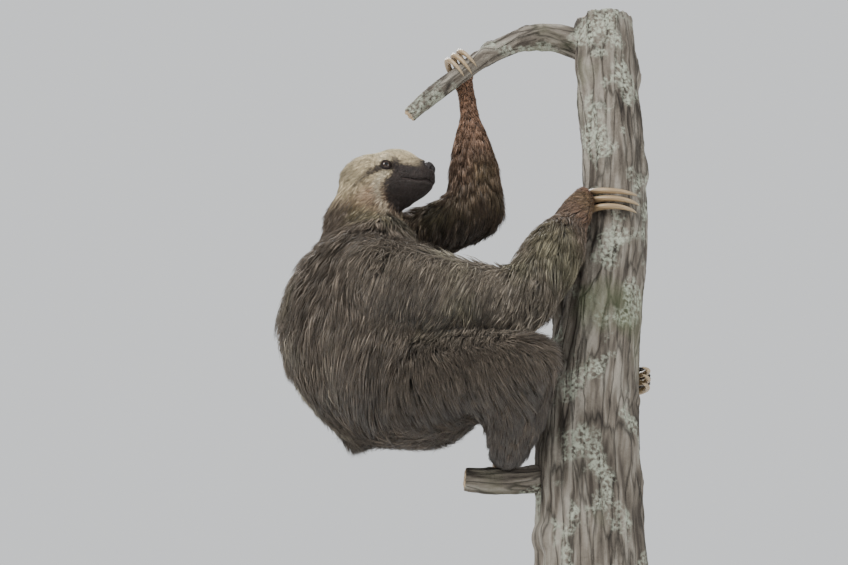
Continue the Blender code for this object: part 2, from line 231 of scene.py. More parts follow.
def put(name: str, data: bpy.types.ID) -> bpy.types.Object:
    """Puts a new object in the scene.

    Args:
        name: The object's name.
        data: Its mesh, camera or light.

    Returns:
        The new object.
    """
    thing = bpy.data.objects.new(name, data)
    bpy.context.scene.collection.objects.link(thing)
    return thing


def new_piece(name: str, mesh: Mesh, material: Material) -> bpy.types.Object:
    """Puts a finished mesh in the scene as a piece that rides on the model.

    Args:
        name: The piece's name.
        mesh: Its mesh, already in place.
        material: Its finish.

    Returns:
        The new object.
    """
    piece = put(name, mesh)
    mesh.materials.clear()
    mesh.materials.append(material)
    mesh.shade_smooth()
    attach(piece, ROOT)
    LOG.info("%s: %d faces", name, len(mesh.polygons))
    return piece


def with_modifiers(mesh: Mesh, *steps: tuple[str, dict]) -> Mesh:
    """The mesh after a run of modifiers.

    Args:
        mesh: The mesh to start from.
        steps: Each modifier's type and the values to set on it.

    Returns:
        A new mesh with the modifiers applied.
    """
    holder = put("holder", mesh)
    for kind, values in steps:
        modifier = holder.modifiers.new(kind.lower(), kind)
        for key, value in values.items():
            setattr(modifier, key, value)
    graph = bpy.context.evaluated_depsgraph_get()
    result = bpy.data.meshes.new_from_object(holder.evaluated_get(graph))
    bpy.data.objects.remove(holder)
    return result


def evened(mesh: Mesh, voxel: float, relax: int) -> Mesh:
    """A mesh made anew in even faces of a size, and smoothed a number of times."""
    remesh = ("REMESH", {"mode": "VOXEL", "voxel_size": voxel})
    return with_modifiers(mesh, remesh, ("SMOOTH", {"iterations": relax, "factor": 0.5}))


def welded_copy(name: str, swell: float = 0.0) -> Mesh:
    """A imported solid's mesh with its loose triangles joined.

    Args:
        name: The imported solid.
        swell: How far the copy is grown outwards.

    Returns:
        The copy.
    """
    work = bmesh.new()
    work.from_mesh(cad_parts[name].data)
    bmesh.ops.remove_doubles(work, verts=work.verts, dist=1e-5)
    work.normal_update()
    for vert in work.verts:
        vert.co += vert.normal * swell
    return to_mesh(work, name + "_copy")


def ball(name: str) -> Mesh:
    """A fine ball of radius one, to be shaped.

    Args:
        name: The mesh's name.

    Returns:
        The ball.
    """
    work = bmesh.new()
    bmesh.ops.create_icosphere(work, subdivisions=5, radius=1.0)
    return to_mesh(work, name)


def point_tree(places: Array) -> KDTree:
    """A search tree over places.

    Args:
        places: Rows of places.

    Returns:
        The tree, which knows each place by its row.
    """
    tree = KDTree(len(places))
    for i, place in enumerate(places.tolist()):
        tree.insert(place, i)
    tree.balance()
    return tree


def nearest(tree: KDTree, places: Array) -> Array:
    """The tree's row that is nearest to each place."""
    return np.fromiter((tree.find(p)[1] for p in places.tolist()), int, len(places))


def face_tree(meshes: Iterable[Mesh]) -> tuple[BVHTree, Array, Array]:
    """A search tree over the faces of several meshes.

    Args:
        meshes: The meshes in order.

    Returns:
        The tree, all the points, and for each face the number of the mesh that it is from.
    """
    corners, faces, owner = [], [], []
    for index, mesh in enumerate(meshes):
        start = len(corners)
        corners += [v.co.copy() for v in mesh.vertices]
        faces += [[start + i for i in p.vertices] for p in mesh.polygons]
        owner += [index] * len(mesh.polygons)
    return BVHTree.FromPolygons(corners, faces), np.array(corners), np.array(owner)


# ---------- finishes
class Board:
    """A material's node tree, with short calls to add and join its nodes."""

    def __init__(self, name: str) -> None:
        """Starts a Principled material.

        Args:
            name: The material's name.
        """
        self.material = bpy.data.materials.new(name)
        self.material.use_nodes = True
        self.tree = self.material.node_tree
        self.shader = self.tree.nodes["Principled BSDF"]

    def add(self, kind: str, inputs: dict | None = None, **values: object) -> bpy.types.Node:
        """Adds a node.

        Args:
            kind: Its type.
            inputs: For each input by name or number, a socket to link or a value to set.
            **values: Its properties.

        Returns:
            The node.
        """
        node = self.tree.nodes.new(kind)
        for key, value in values.items():
            setattr(node, key, value)
        for key, value in (inputs or {}).items():
            self.join(value, node.inputs[key])
        return node

    def join(self, value: object, socket: Socket) -> None:
        """Links a socket to an input, or sets the input's own value.

        Args:
            value: The socket or the value.
            socket: The input.
        """
        if isinstance(value, Socket):
            self.tree.links.new(value, socket)
        else:
            socket.default_value = value

    def stored(self, name: str, output: str = "Color") -> Socket:
        """What the mesh carries for each point under a name."""
        return self.add("ShaderNodeAttribute", attribute_name=name).outputs[output]

    def stretched(self, where: Socket, scale: Triple) -> Socket:
        """A place, stretched by a scale."""
        node = self.add("ShaderNodeMapping", {"Vector": where, "Scale": scale})
        return node.outputs["Vector"]

    def places(self, scale: Triple = (1, 1, 1)) -> Socket:
        """Object coordinates, stretched by a scale."""
        return self.stretched(self.add("ShaderNodeTexCoord").outputs["Object"], scale)

    def noise(
        self, where: Socket, scale: float, detail: float = 3.0, output: str = "Fac"
    ) -> Socket:
        """Noise over a place, 0 to 1."""
        node = self.add("ShaderNodeTexNoise", {"Vector": where, "Scale": scale, "Detail": detail})
        return node.outputs[output]

    def ramp(self, value: Socket, *stops: tuple[float, Colour]) -> Socket:
        """Turns a value into a colour.

        Args:
            value: The value.
            *stops: Places on the ramp from 0 to 1, each with its linear colour.

        Returns:
            The colour.
        """
        node = self.add("ShaderNodeValToRGB", {"Fac": value})
        band = node.color_ramp
        while len(band.elements) < len(stops):
            band.elements.new(1.0)
        for element, (place, colour) in zip(band.elements, stops):
            element.position = place
            element.color = (*colour, 1.0)
        return node.outputs["Color"]

    def blend(self, a: object, b: object, share: object, kind: str = "MIX") -> Socket:
        """Mixes two colours.

        Args:
            a: The colour at share 0.
            b: The colour at share 1.
            share: How much of b there is.
            kind: The way of mixing.

        Returns:
            The mixed colour.
        """
        node = self.add("ShaderNodeMix", data_type="RGBA", blend_type=kind)
        for value, socket in ((share, node.inputs[0]), (a, node.inputs[6]), (b, node.inputs[7])):
            if isinstance(value, tuple):
                value = (*value, 1.0)
            self.join(value, socket)
        return node.outputs[2]

    def shaded(self, shade: Socket) -> Socket:
        """The colours that the mesh carries, times a shade."""
        return self.blend(self.stored(TINT), shade, 1.0, "MULTIPLY")

    def maths(self, kind: str, *values: object) -> Socket:
        """A sum on sockets or numbers.

        Args:
            kind: The operation.
            *values: What it works on, in order.

        Returns:
            The result.
        """
        node = self.add("ShaderNodeMath", operation=kind)
        for value, socket in zip(values, node.inputs):
            self.join(value, socket)
        return node.outputs[0]

    def bump(self, height: Socket, depth: float) -> None:
        """Feeds a height, for a depth in metres, to the shader's normal."""
        node = self.add("ShaderNodeBump", {"Height": height, "Strength": 1.0, "Distance": depth})
        self.join(node.outputs["Normal"], self.shader.inputs["Normal"])

    def finish(self, **values: object) -> Material:
        """Sets the shader's own inputs.

        Args:
            **values: A socket or value for each input, with _ for a space in its name.

        Returns:
            The finished material.
        """
        for key, value in values.items():
            if isinstance(value, tuple) and len(value) == 3:
                value = (*value, 1.0)
            self.join(value, self.shader.inputs[key.replace("_", " ")])
        return self.material


@dataclass(frozen=True)
class HairFinish:
    """Hair in the colours that its tufts carry."""

    roughness: float = 0.54
    specular: float = 0.28
    sheen: float = 0.12
    sheen_roughness: float = 0.4
    hairs: Triple = (1700.0, 150.0, 1.0)  # streaks across and along a tuft
    dark: Colour = (0.62, 0.61, 0.60)
    light: Colour = (1.30, 1.29, 1.27)
    relief: float = 0.0004

    def material(self) -> Material:
        """Makes hair with fine streaks along each tuft.

        Returns:
            The material.
        """
        board = Board("sloth_hair")
        patch = board.add("ShaderNodeUVMap", uv_map=UV_NAME).outputs["UV"]
        hair = board.noise(board.stretched(patch, self.hairs), 1.0, 2.0)
        shade = board.ramp(hair, (0.34, self.dark), (0.66, self.light))
        board.bump(hair, self.relief)
        return board.finish(
            Base_Color=board.shaded(shade),
            Roughness=self.roughness,
            Specular_IOR_Level=self.specular,
            Sheen_Weight=self.sheen,
            Sheen_Roughness=self.sheen_roughness,
        )


@dataclass(frozen=True)
class SkinFinish:
    """Bare or thinly haired skin, in the colours that it carries."""

    roughness: float = 0.75
    specular: float = 0.22
    pores: float = 900.0
    dark: Colour = (0.8, 0.8, 0.8)
    light: Colour = (1.12, 1.12, 1.12)
    relief: float = 0.0004

    def material(self) -> Material:
        """Makes skin with a fine grain.

        Returns:
            The material.
        """
        board = Board("sloth_skin")
        grain = board.noise(board.places(), self.pores, 4.0)
        shade = board.ramp(grain, (0.3, self.dark), (0.7, self.light))
        board.bump(grain, self.relief)
        return board.finish(
            Base_Color=board.shaded(shade),
            Roughness=self.roughness,
            Specular_IOR_Level=self.specular,
        )


@dataclass(frozen=True)
class NoseFinish:
    """Moist black nose skin with a fine pebbled grain."""

    dark: Colour = (0.014, 0.011, 0.011)
    light: Colour = (0.024, 0.019, 0.018)
    roughness: float = 0.47
    specular: float = 0.34
    pebbles: float = 1500.0
    relief: float = 0.00007

    def material(self) -> Material:
        """Makes pebbled nose skin.

        Returns:
            The material.
        """
        board = Board("nose_leather")
        cells = {"Vector": board.places(), "Scale": self.pebbles}
        pebble = board.add("ShaderNodeTexVoronoi", cells).outputs["Distance"]
        board.bump(pebble, self.relief)
        return board.finish(
            Base_Color=board.ramp(pebble, (0.1, self.dark), (0.8, self.light)),
            Roughness=self.roughness,
            Specular_IOR_Level=self.specular,
        )


@dataclass(frozen=True)
class EyeFinish:
    """A wet, dark brown eye: the tint carries iris and pupil."""

    roughness: float = 0.05
    specular: float = 0.42

    def material(self) -> Material:
        """Makes a wet, glossy eye.

        Returns:
            The material.
        """
        board = Board("eye_wet")
        return board.finish(
            Base_Color=board.stored(TINT),
            Roughness=self.roughness,
            Specular_IOR_Level=self.specular,
        )


@dataclass(frozen=True)
class HornFinish:
    """Smooth horn with fine streaks along the claw."""

    roughness: float = 0.42
    streaks: float = 3.2
    dark: Colour = (0.60, 0.56, 0.50)
    light: Colour = (1.18, 1.15, 1.08)
    relief: float = 0.0005

    def material(self) -> Material:
        """Makes streaked horn.

        Returns:
            The material.
        """
        board = Board("claw_horn")
        streak = board.noise(board.stored(GRAIN, "Vector"), self.streaks, 5.0)
        shade = board.ramp(streak, (0.36, self.dark), (0.64, self.light))
        board.bump(streak, self.relief)
        return board.finish(Base_Color=board.shaded(shade), Roughness=self.roughness)


@dataclass(frozen=True)
class BarkFinish:
    """Grey-brown bark in vertical fissures, with pale lichen and a cut end of bare wood."""

    dark: Colour = (0.050, 0.041, 0.033)
    mid: Colour = (0.145, 0.125, 0.101)
    pale: Colour = (0.262, 0.238, 0.200)
    lichen: Colour = (0.330, 0.350, 0.280)
    moss: Colour = (0.105, 0.130, 0.062)
    heart: Colour = (0.385, 0.270, 0.165)
    sap: Colour = (0.530, 0.415, 0.280)
    draw_out: float = 0.14  # how far the pattern is drawn out along the wood
    fissures: float = 150.0
    plates: float = 42.0
    fibres: float = 640.0
    cells: float = 74.0  # plates of bark between the cracks
    drifts: float = 55.0
    drift_reach: float = 0.022  # how far the cracks wander
    crack_width: float = 0.085
    crack_shade: float = 0.34
    lichen_patches: float = 24.0
    lichen_specks: float = 260.0
    damp_patches: float = 10.0
    rings: float = 27.0  # year rings over the ring span of the wood
    relief: float = 0.0036
    roughness: float = 0.88
    specular: float = 0.25

    def material(self) -> Material:
        """Makes bark, with bare ringed wood where the mesh is marked as cut.

        Returns:
            The material.
        """
        board = Board("bark")
        along = board.stretched(board.stored(GRAIN, "Vector"), (1.0, 1.0, self.draw_out))
        even = board.places()
        relief = board.blend(
            board.noise(along, self.fissures, 8.0), board.noise(along, self.plates, 3.0), 0.40
        )
        bark = board.ramp(relief, (0.38, self.dark), (0.50, self.mid), (0.62, self.pale))
        crack = self.cracks(board, along)
        bark = board.blend(bark, crack, 1.0, "MULTIPLY")
        speck = self.spots(board, even, self.lichen_specks, 4.0, (0.40, 0.60))
        patch = self.spots(board, even, self.lichen_patches, 6.0, (0.53, 0.61))
        bark = board.blend(bark, self.lichen, board.blend(patch, speck, 1.0, "MULTIPLY"))
        damp = self.spots(board, even, self.damp_patches, 3.0, (0.56, 0.74), 0.5)
        bark = board.blend(bark, self.moss, damp)
        cut = board.add("ShaderNodeSeparateColor", {"Color": board.stored(CUT)}).outputs
        turn = board.maths("MULTIPLY", cut["Green"], 2.0 * math.pi * self.rings)
        ring = board.maths("MULTIPLY_ADD", board.maths("SINE", turn), 0.5, 0.5)
        wood = board.ramp(ring, (0.2, self.heart), (0.9, self.sap))
        rough = board.blend(relief, board.noise(along, self.fibres, 4.0), 0.26)
        height = board.blend(board.blend(rough, crack, 0.34), speck, 0.13)
        board.bump(board.blend(height, (0.5,) * 3, cut["Red"]), self.relief)
        return board.finish(
            Base_Color=board.blend(bark, wood, cut["Red"]),
            Roughness=self.roughness,
            Specular_IOR_Level=self.specular,
        )

    def cracks(self, board: Board, along: Socket) -> Socket:
        """The dark cracks between the plates of bark.

        Args:
            board: The material's board.
            along: The place across and along the wood.

        Returns:
            A shade: dark in the cracks and 1 between them.
        """
        drift = board.noise(along, self.drifts, 4.0, "Color")
        bent = board.add(
            "ShaderNodeVectorMath",
            {0: drift, 1: (self.drift_reach,) * 3, 2: along},
            operation="MULTIPLY_ADD",
        )
        edge = board.add(
            "ShaderNodeTexVoronoi",
            {"Vector": bent.outputs["Vector"], "Scale": self.cells},
            feature="DISTANCE_TO_EDGE",
        ).outputs["Distance"]
        return board.ramp(edge, (0.0, (self.crack_shade,) * 3), (self.crack_width, (1.0,) * 3))

    @staticmethod
    def spots(
        board: Board,
        where: Socket,
        scale: float,
        detail: float,
        edge: Pair,
        most: float = 1.0,
    ) -> Socket:
        """Patches where a noise is high.

        Args:
            board: The material's board.
            where: The place that the noise is read at.
            scale: The noise's scale.
            detail: The noise's detail.
            edge: The noise's values at which a patch starts and is full.
            most: How much a full patch counts.

        Returns:
            How much of the patch there is at each place.
        """
        value = board.noise(where, scale, detail)
        return board.ramp(value, (edge[0], (0, 0, 0)), (edge[1], (most,) * 3))


@dataclass(frozen=True)
class BaseFinish:
    """Dark stained, satin varnished wood with its grain along X."""

    dark: Colour = (0.018, 0.011, 0.008)
    mid: Colour = (0.050, 0.030, 0.019)
    light: Colour = (0.095, 0.058, 0.035)
    fine: float = 130.0
    broad: float = 16.0
    relief: float = 0.0002
    roughness: float = 0.34
    varnish: float = 0.3
    varnish_roughness: float = 0.25

    def material(self) -> Material:
        """Makes varnished wood.

        Returns:
            The material.
        """
        board = Board("base_wood")
        grain = board.noise(board.places((0.10, 1.0, 1.0)), self.fine, 6.0)
        broad = board.noise(board.places((0.25, 1.0, 1.0)), self.broad, 2.0)
        figure = board.blend(grain, broad, 0.45)
        board.bump(grain, self.relief)
        return board.finish(
            Base_Color=board.ramp(figure, (0.30, self.dark), (0.52, self.mid), (0.72, self.light)),
            Roughness=self.roughness,
            Coat_Weight=self.varnish,
            Coat_Roughness=self.varnish_roughness,
        )


@dataclass(frozen=True)
class SteelFinish:
    """Satin dark steel with a faint turned grain."""

    dark: Colour = (0.085, 0.086, 0.090)
    light: Colour = (0.135, 0.136, 0.142)
    turning: Triple = (1.0, 1.0, 60.0)
    relief: float = 0.00005
    roughness: float = 0.38

    def material(self) -> Material:
        """Makes turned steel.

        Returns:
            The material.
        """
        board = Board("satin_steel")
        turned = board.noise(board.places(self.turning), 30.0, 2.0)
        board.bump(turned, self.relief)
        return board.finish(
            Base_Color=board.ramp(turned, (0.3, self.dark), (0.7, self.light)),
            Metallic=1.0,
            Roughness=self.roughness,
        )


# ---------- coat, part by part
@dataclass(frozen=True)
class Coat:
    """How the hair grows on one part. Pairs go from the part's far end to its near end."""

    depth: Pair
    length: Pair
    width: Pair
    colour: tuple[Colour, Colour]
    hang: float = 0.6  # how far the hair's own weight turns it from the part's length
    share: float = 1.0  # tufts for its area, against the rest of the same coat piece


GREY = (0.112, 0.090, 0.069)
GREY_PALE = (0.178, 0.152, 0.118)
GREY_WARM = (0.130, 0.097, 0.070)
RUST = (0.178, 0.098, 0.060)
DUSK = (0.078, 0.062, 0.049)

COATS: dict[str, Coat] = {
    "torso": Coat((0.024, 0.024), (0.048, 0.048), (0.0018, 0.0018), (GREY, GREY), 1.0),
    "neck": Coat((0.017, 0.017), (0.034, 0.034), (0.0014, 0.0014), (GREY_WARM, GREY), 0.9),
    "tail": Coat((0.008, 0.012), (0.022, 0.032), (0.0012, 0.0015), (GREY, GREY), 1.2, 1.3),
    "upper_arm_left": Coat(
        (0.014, 0.018), (0.034, 0.040), (0.0015, 0.0017), (GREY_WARM, GREY), 1.4
    ),
    "forearm_left": Coat(
        (0.0055, 0.0165), (0.020, 0.040), (0.0011, 0.0016), (RUST, GREY_WARM), 0.3, 1.3
    ),
    "hand_left": Coat((0.0030, 0.0048), (0.009, 0.016), (0.0008, 0.0010), (RUST, RUST), 0.1, 1.6),
    "upper_arm_right": Coat(
        (0.016, 0.020), (0.044, 0.050), (0.0017, 0.0018), (GREY_PALE, GREY), 2.4
    ),
    "forearm_right": Coat(
        (0.0110, 0.0170), (0.030, 0.046), (0.0014, 0.0017), (GREY_WARM, GREY_PALE), 1.1
    ),
    "hand_right": Coat(
        (0.0040, 0.0085), (0.011, 0.022), (0.0009, 0.0012), (RUST, GREY_WARM), 0.2, 1.5
    ),
    "thigh_left": Coat((0.016, 0.022), (0.038, 0.046), (0.0016, 0.0018), (GREY, GREY), 1.0),
    "shin_left": Coat((0.0080, 0.0145), (0.020, 0.034), (0.0012, 0.0016), (DUSK, GREY), 0.5),
    "foot_left": Coat((0.0035, 0.0070), (0.011, 0.018), (0.0009, 0.0011), (DUSK, DUSK), 0.1, 1.5),
    "thigh_right": Coat((0.016, 0.022), (0.038, 0.046), (0.0016, 0.0018), (GREY, GREY), 1.3),
    "shin_right": Coat((0.0080, 0.0140), (0.022, 0.034), (0.0012, 0.0016), (DUSK, GREY), 0.6),
    "foot_right": Coat((0.0035, 0.0060), (0.011, 0.018), (0.0009, 0.0011), (DUSK, DUSK), 0.1, 1.5),
}
FLESH = ("head", *COATS)


def far_sides() -> dict[str, str]:
    """For each part of a limb, the part or the claw beyond it.

    Returns:
        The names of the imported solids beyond, by the part's own name.
    """
    beyond: dict[str, str] = {}
    for limb in Limb:
        for side in Side:
            parts = limb.parts(side)
            beyond |= zip(parts, (*parts[1:], f"claw_{parts[-1]}_2"))
    return beyond


@dataclass
class Face:
    """The head's own frame and its features.

    The frame's origin is midway between the eyes, X runs to the nose, Y to the animal's left and
    Z up. All sizes are in metres along it, and a pair is where a change starts and where it ends.
    """

    eye_ball: float = 0.0068
    eye_proud: float = 0.0026  # how far the eye's front stands over the skin round it
    eye_open: Pair = (0.0051, 0.0038)
    eye_gaze: Triple = (0.50, 0.84, 0.06)  # the way that the left eye looks
    slit_line: Triple = (1.0, 0.0, -0.12)  # the way that the slit between the lids runs
    slit_taper: float = 0.45
    slit_least: float = 0.2
    socket_depth: float = 0.012
    lid_thick: float = 0.00055
    lid_edge: float = 0.0060
    lid_reach: float = 0.0098
    lid_depth: float = 0.006
    fold_height: float = 0.0062
    fold_droop: float = 0.09  # how far the fold falls off to its ends
    fold_width: float = 0.0006
    fold_depth: float = 0.0007
    fold_fade: Pair = (0.0088, 0.0070)
    lid_dark: Pair = (0.0070, 0.0058)
    ruff: Pair = (0.017, 0.007)  # the ring round an eye whose hair turns away from it
    ruff_turn: float = 2.2
    ruff_short: float = 0.50
    gap_behind: float = 0.0024  # between the eye's front and the skin behind the slit
    nose_proud: float = -0.0004
    nose_size: Triple = (0.0066, 0.0112, 0.0076)
    nose_tip: Pair = (0.007, 0.005)
    mouth_front: float = 0.0400
    mouth_corner: float = 0.0145
    mouth_height: float = -0.0178
    mouth_rise: float = 0.0050  # at its corner
    front_rise: float = 0.0020
    mouth_start: Pair = (-0.001, 0.004)  # from its corner
    # the mouth's groove and its lips: their height over its line, width and depth
    lips: tuple[Triple, ...] = (
        (0.0, 0.00105, 0.0021),
        (0.0024, 0.0015, -0.0008),
        (-0.0026, 0.0017, -0.0005),
    )

    cream: Colour = (0.520, 0.430, 0.275)
    crown: Colour = (0.475, 0.415, 0.270)
    brow: Colour = (0.560, 0.500, 0.380)
    mask: Colour = (0.040, 0.029, 0.025)
    stripe: Colour = (0.040, 0.028, 0.021)
    throat: Colour = (0.285, 0.180, 0.118)
    ragged: float = 0.006  # the size of the waves in the edges between the colours
    waviness: Triple = (0.0040, 0.0015, 0.0018)  # of the throat's, bridge's and mask's edges
    crown_edge: Pair = (0.010, 0.026)
    throat_edge: Pair = (-0.008, -0.034)
    throat_most: float = 0.9
    mask_edge: float = 0.0045
    mask_soft: Pair = (-0.0015, 0.0035)
    mask_back: float = 0.004  # how much further back the mask reaches down the cheek
    mask_drop: Pair = (-0.010, -0.024)
    brow_back: float = 0.0045  # how far behind the mask the pale brow is
    brow_width: float = 0.0035
    brow_height: Pair = (0.016, 0.004)
    brow_most: float = 0.7
    bridge_slope: float = 0.32
    bridge_edge: Pair = (0.0065, 0.0115)
    bridge_end: Pair = (0.040, 0.026)
    stripe_start: Pair = (0.004, 0.0)
    stripe_end: Pair = (-0.034, -0.0165)
    stripe_width: float = 0.0062
    stripe_taper: float = 0.0028
    stripe_core: float = 0.45  # how much of its width is full dark
    stripe_side: Pair = (0.012, 0.020)
    stripe_pale: Pair = (0.30, 0.65)  # the shares of its length where it turns paler
    stripe_fade: Pair = (1.0, 0.70)  # and where it fades out

    # the coat round the eyes, with what is added behind them and on the muzzle
    behind: Pair = (0.004, -0.026)
    muzzle: Pair = (0.006, 0.022)
    hair_depth: Triple = (0.0022, 0.0068, -0.0011)
    hair_length: Triple = (0.0075, 0.0155, -0.0030)
    hair_width: Triple = (0.00066, 0.00044, -0.00014)

    def __post_init__(self) -> None:
        """Reads the head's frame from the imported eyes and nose."""
        left, right = node_middle("eye_left"), node_middle("eye_right")
        self.origin = (left + right) / 2
        across = unit(left - right)
        ahead = node_middle("nose") - self.origin
        ahead = unit(ahead - across * ahead.dot(across))
        self.axes = np.array([ahead, across, np.cross(ahead, across)])
        half_gap = float(np.linalg.norm(left - right)) / 2
        self.nose_seat = self.local(node_middle("nose")[None])[0]
        self.sockets = {side: np.array([0.0, side.value * half_gap, 0.0]) for side in Side}

    def local(self, points: Array) -> Array:
        """World places in the head's frame."""
        return (points - self.origin) @ self.axes.T

    def world(self, points: Array) -> Array:
        """Places in the head's frame, in the world."""
        return points @ self.axes + self.origin

    def seat(self, skin: Array) -> None:
        """Seats the eyes and the nose in the sunk skin.

        Args:
            skin: The skin's points in the head's frame.
        """
        for side in Side:
            out = self.eye_axes(side)[0]
            height, along, up = self.round_eye(skin, side)
            near = (np.hypot(along, up) < self.lid_reach) & (height > -self.socket_depth)
            depth = height[near].mean() + self.eye_proud - self.eye_ball
            self.sockets[side] = self.sockets[side] + out * depth
        tip = (np.abs(skin[:, 1:] - self.nose_seat[1:]) < self.nose_tip).all(1) & (skin[:, 0] > 0)
        self.nose_seat[0] = skin[tip, 0].max() + self.nose_proud - self.nose_size[0]

    def round_eye(self, points: Array, side: Side) -> tuple[Array, ...]:
        """Places in the head's frame, told as height over an eye's middle, along and up."""
        return tuple((points - self.sockets[side]) @ axis for axis in self.eye_axes(side))

    def gaze(self, side: Side) -> Array:
        """The way an eye looks, in the head's frame."""
        return unit(np.array(self.eye_gaze) * (1, side.value, 1))

    def eye_axes(self, side: Side) -> tuple[Array, Array, Array]:
        """The eye's own axes.

        Args:
            side: Which eye.

        Returns:
            The ways outwards, along the lids and up across them.
        """
        out, line = self.gaze(side), np.array(self.slit_line)
        along = unit(line - out * (line * out).sum())
        up = np.cross(out, along) * side.value
        return out, along, up * (1 if up[2] > 0 else -1)

    def colour(self, points: Array) -> Array:
        """The head's markings at world places.

        Args:
            points: World places.

        Returns:
            A linear colour for each.
        """
        x, y, z = self.local(points).T
        ragged = waves(points, self.ragged, Wave.MARKING_EDGES)
        rows = mix(self.cream, self.crown, ease(z, *self.crown_edge))
        at_throat, at_bridge, at_mask = (size * ragged for size in self.waviness)
        low = ease(z + at_throat, *self.throat_edge)
        rows = mix(rows, self.throat, low * self.throat_most)
        # dark over the muzzle, the cheeks and the chin, with the bridge left pale nearly to the
        # nose
        edge = self.mask_edge - self.mask_back * ease(z, *self.mask_drop)
        band = bell(x - edge + self.brow_back, self.brow_width) * ease(z, *self.brow_height)
        rows = mix(rows, self.brow, self.brow_most * band)
        over = z + self.bridge_slope * x + at_bridge
        bridge = ease(over, *self.bridge_edge) * ease(x, *self.bridge_end)
        dark = ease(x + at_mask, *(edge + soft for soft in self.mask_soft))
        rows = mix(rows, self.mask, dark * (1.0 - bridge))
        return mix(rows, self.stripe, self.stripe_share(x, np.abs(y), z, ragged))

    def stripe_share(self, x: Array, y: Array, z: Array, ragged: Array) -> Array:
        """The eye stripe: round the eye, then back and down over the cheek, fainter as it goes.

        Args:
            x: How far each place is before the eyes.
            y: How far it is to either side.
            z: How far it is over them.
            ragged: The waves in the stripe's edge.

        Returns:
            How much of the stripe's colour each place has.
        """
        start = np.array(self.stripe_start)
        run = np.array(self.stripe_end) - start
        q = np.stack([x, z], 1) - start
        share = np.clip(q @ run / (run @ run), 0.0, 1.0)
        away = np.linalg.norm(q - share[:, None] * run, axis=1)
        wide = (self.stripe_width - self.stripe_taper * share) * (1.0 + 0.25 * ragged)
        fade = 0.95 * ease(share, *self.stripe_fade)
        fade = fade * (1.0 - 0.45 * ease(share, *self.stripe_pale))
        return ease(away, wide, wide * self.stripe_core) * fade * ease(y, *self.stripe_side)

    def growth(self, points: Array) -> tuple[Array, ...]:
        """How the hair grows on the head.

        Args:
            points: World places.

        Returns:
            The coat's depth, the tufts' length and the tufts' width at each.
        """
        x = self.local(points)[:, 0]
        back, front = ease(x, *self.behind), ease(x, *self.muzzle)
        sizes = (self.hair_depth, self.hair_length, self.hair_width)
        return tuple(own + far * back + near * front for own, far, near in sizes)


@dataclass(frozen=True)
class Markings:
    """The body's shades and blotches over the colours that its parts have.

    Heights are over the torso's foot, and a pair is where a change starts and where it ends.
    """

    shade: float = 0.22
    shade_size: float = 0.050
    blotch: Colour = (0.330, 0.300, 0.235)
    blotch_most: float = 0.75
    blotch_size: float = 0.028
    blotch_edge: Pair = (0.02, 0.30)
    rear: Pair = (-0.02, 0.03)  # from the torso's middle, and from its back
    loin_top: Pair = (0.17, 0.10)
    loin_foot: Pair = (0.01, 0.05)
    # darker low down on the body: where it starts and where it is full, and by how much
    flank: Pair = (0.150, 0.045)
    flank_dark: float = 0.20
    algae: Triple = (-0.05, 0.05, -0.10)  # what a green cast adds to red, green and blue
    algae_size: float = 0.060
    algae_edge: Pair = (0.0, 0.5)
    algae_foot: Pair = (0.08, 0.2)

    def colour(self, points: Array, base: Array) -> Array:
        """The body's colour.

        Args:
            points: World places.
            base: The part's own colour at each.

        Returns:
            A linear colour for each.
        """
        low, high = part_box("torso")
        x, up = points[:, 0], points[:, 2] - low[2]
        shade = waves(points, self.shade_size, Wave.SHADES)
        rows = base * (1.0 + self.shade * shade)[:, None]
        rear = ease(x, (low[0] + high[0]) / 2 + self.rear[0], low[0] + self.rear[1])
        loin = ease(up, *self.loin_top) * ease(up, *self.loin_foot)
        blotches = ease(waves(points, self.blotch_size, Wave.BLOTCHES), *self.blotch_edge)
        patch = blotches * rear * loin
        rows = mix(rows, self.blotch, self.blotch_most * patch)
        # darker low down on the body, less so on the blotches
        flank = ease(up + 0.012 * shade, *self.flank)
        rows = rows * (1.0 - self.flank_dark * flank * (1.0 - patch))[:, None]
        green = ease(waves(points, self.algae_size, Wave.ALGAE), *self.algae_edge)
        green = green * ease(up, *self.algae_foot)
        return rows * (1.0 + green[:, None] * np.array(self.algae))


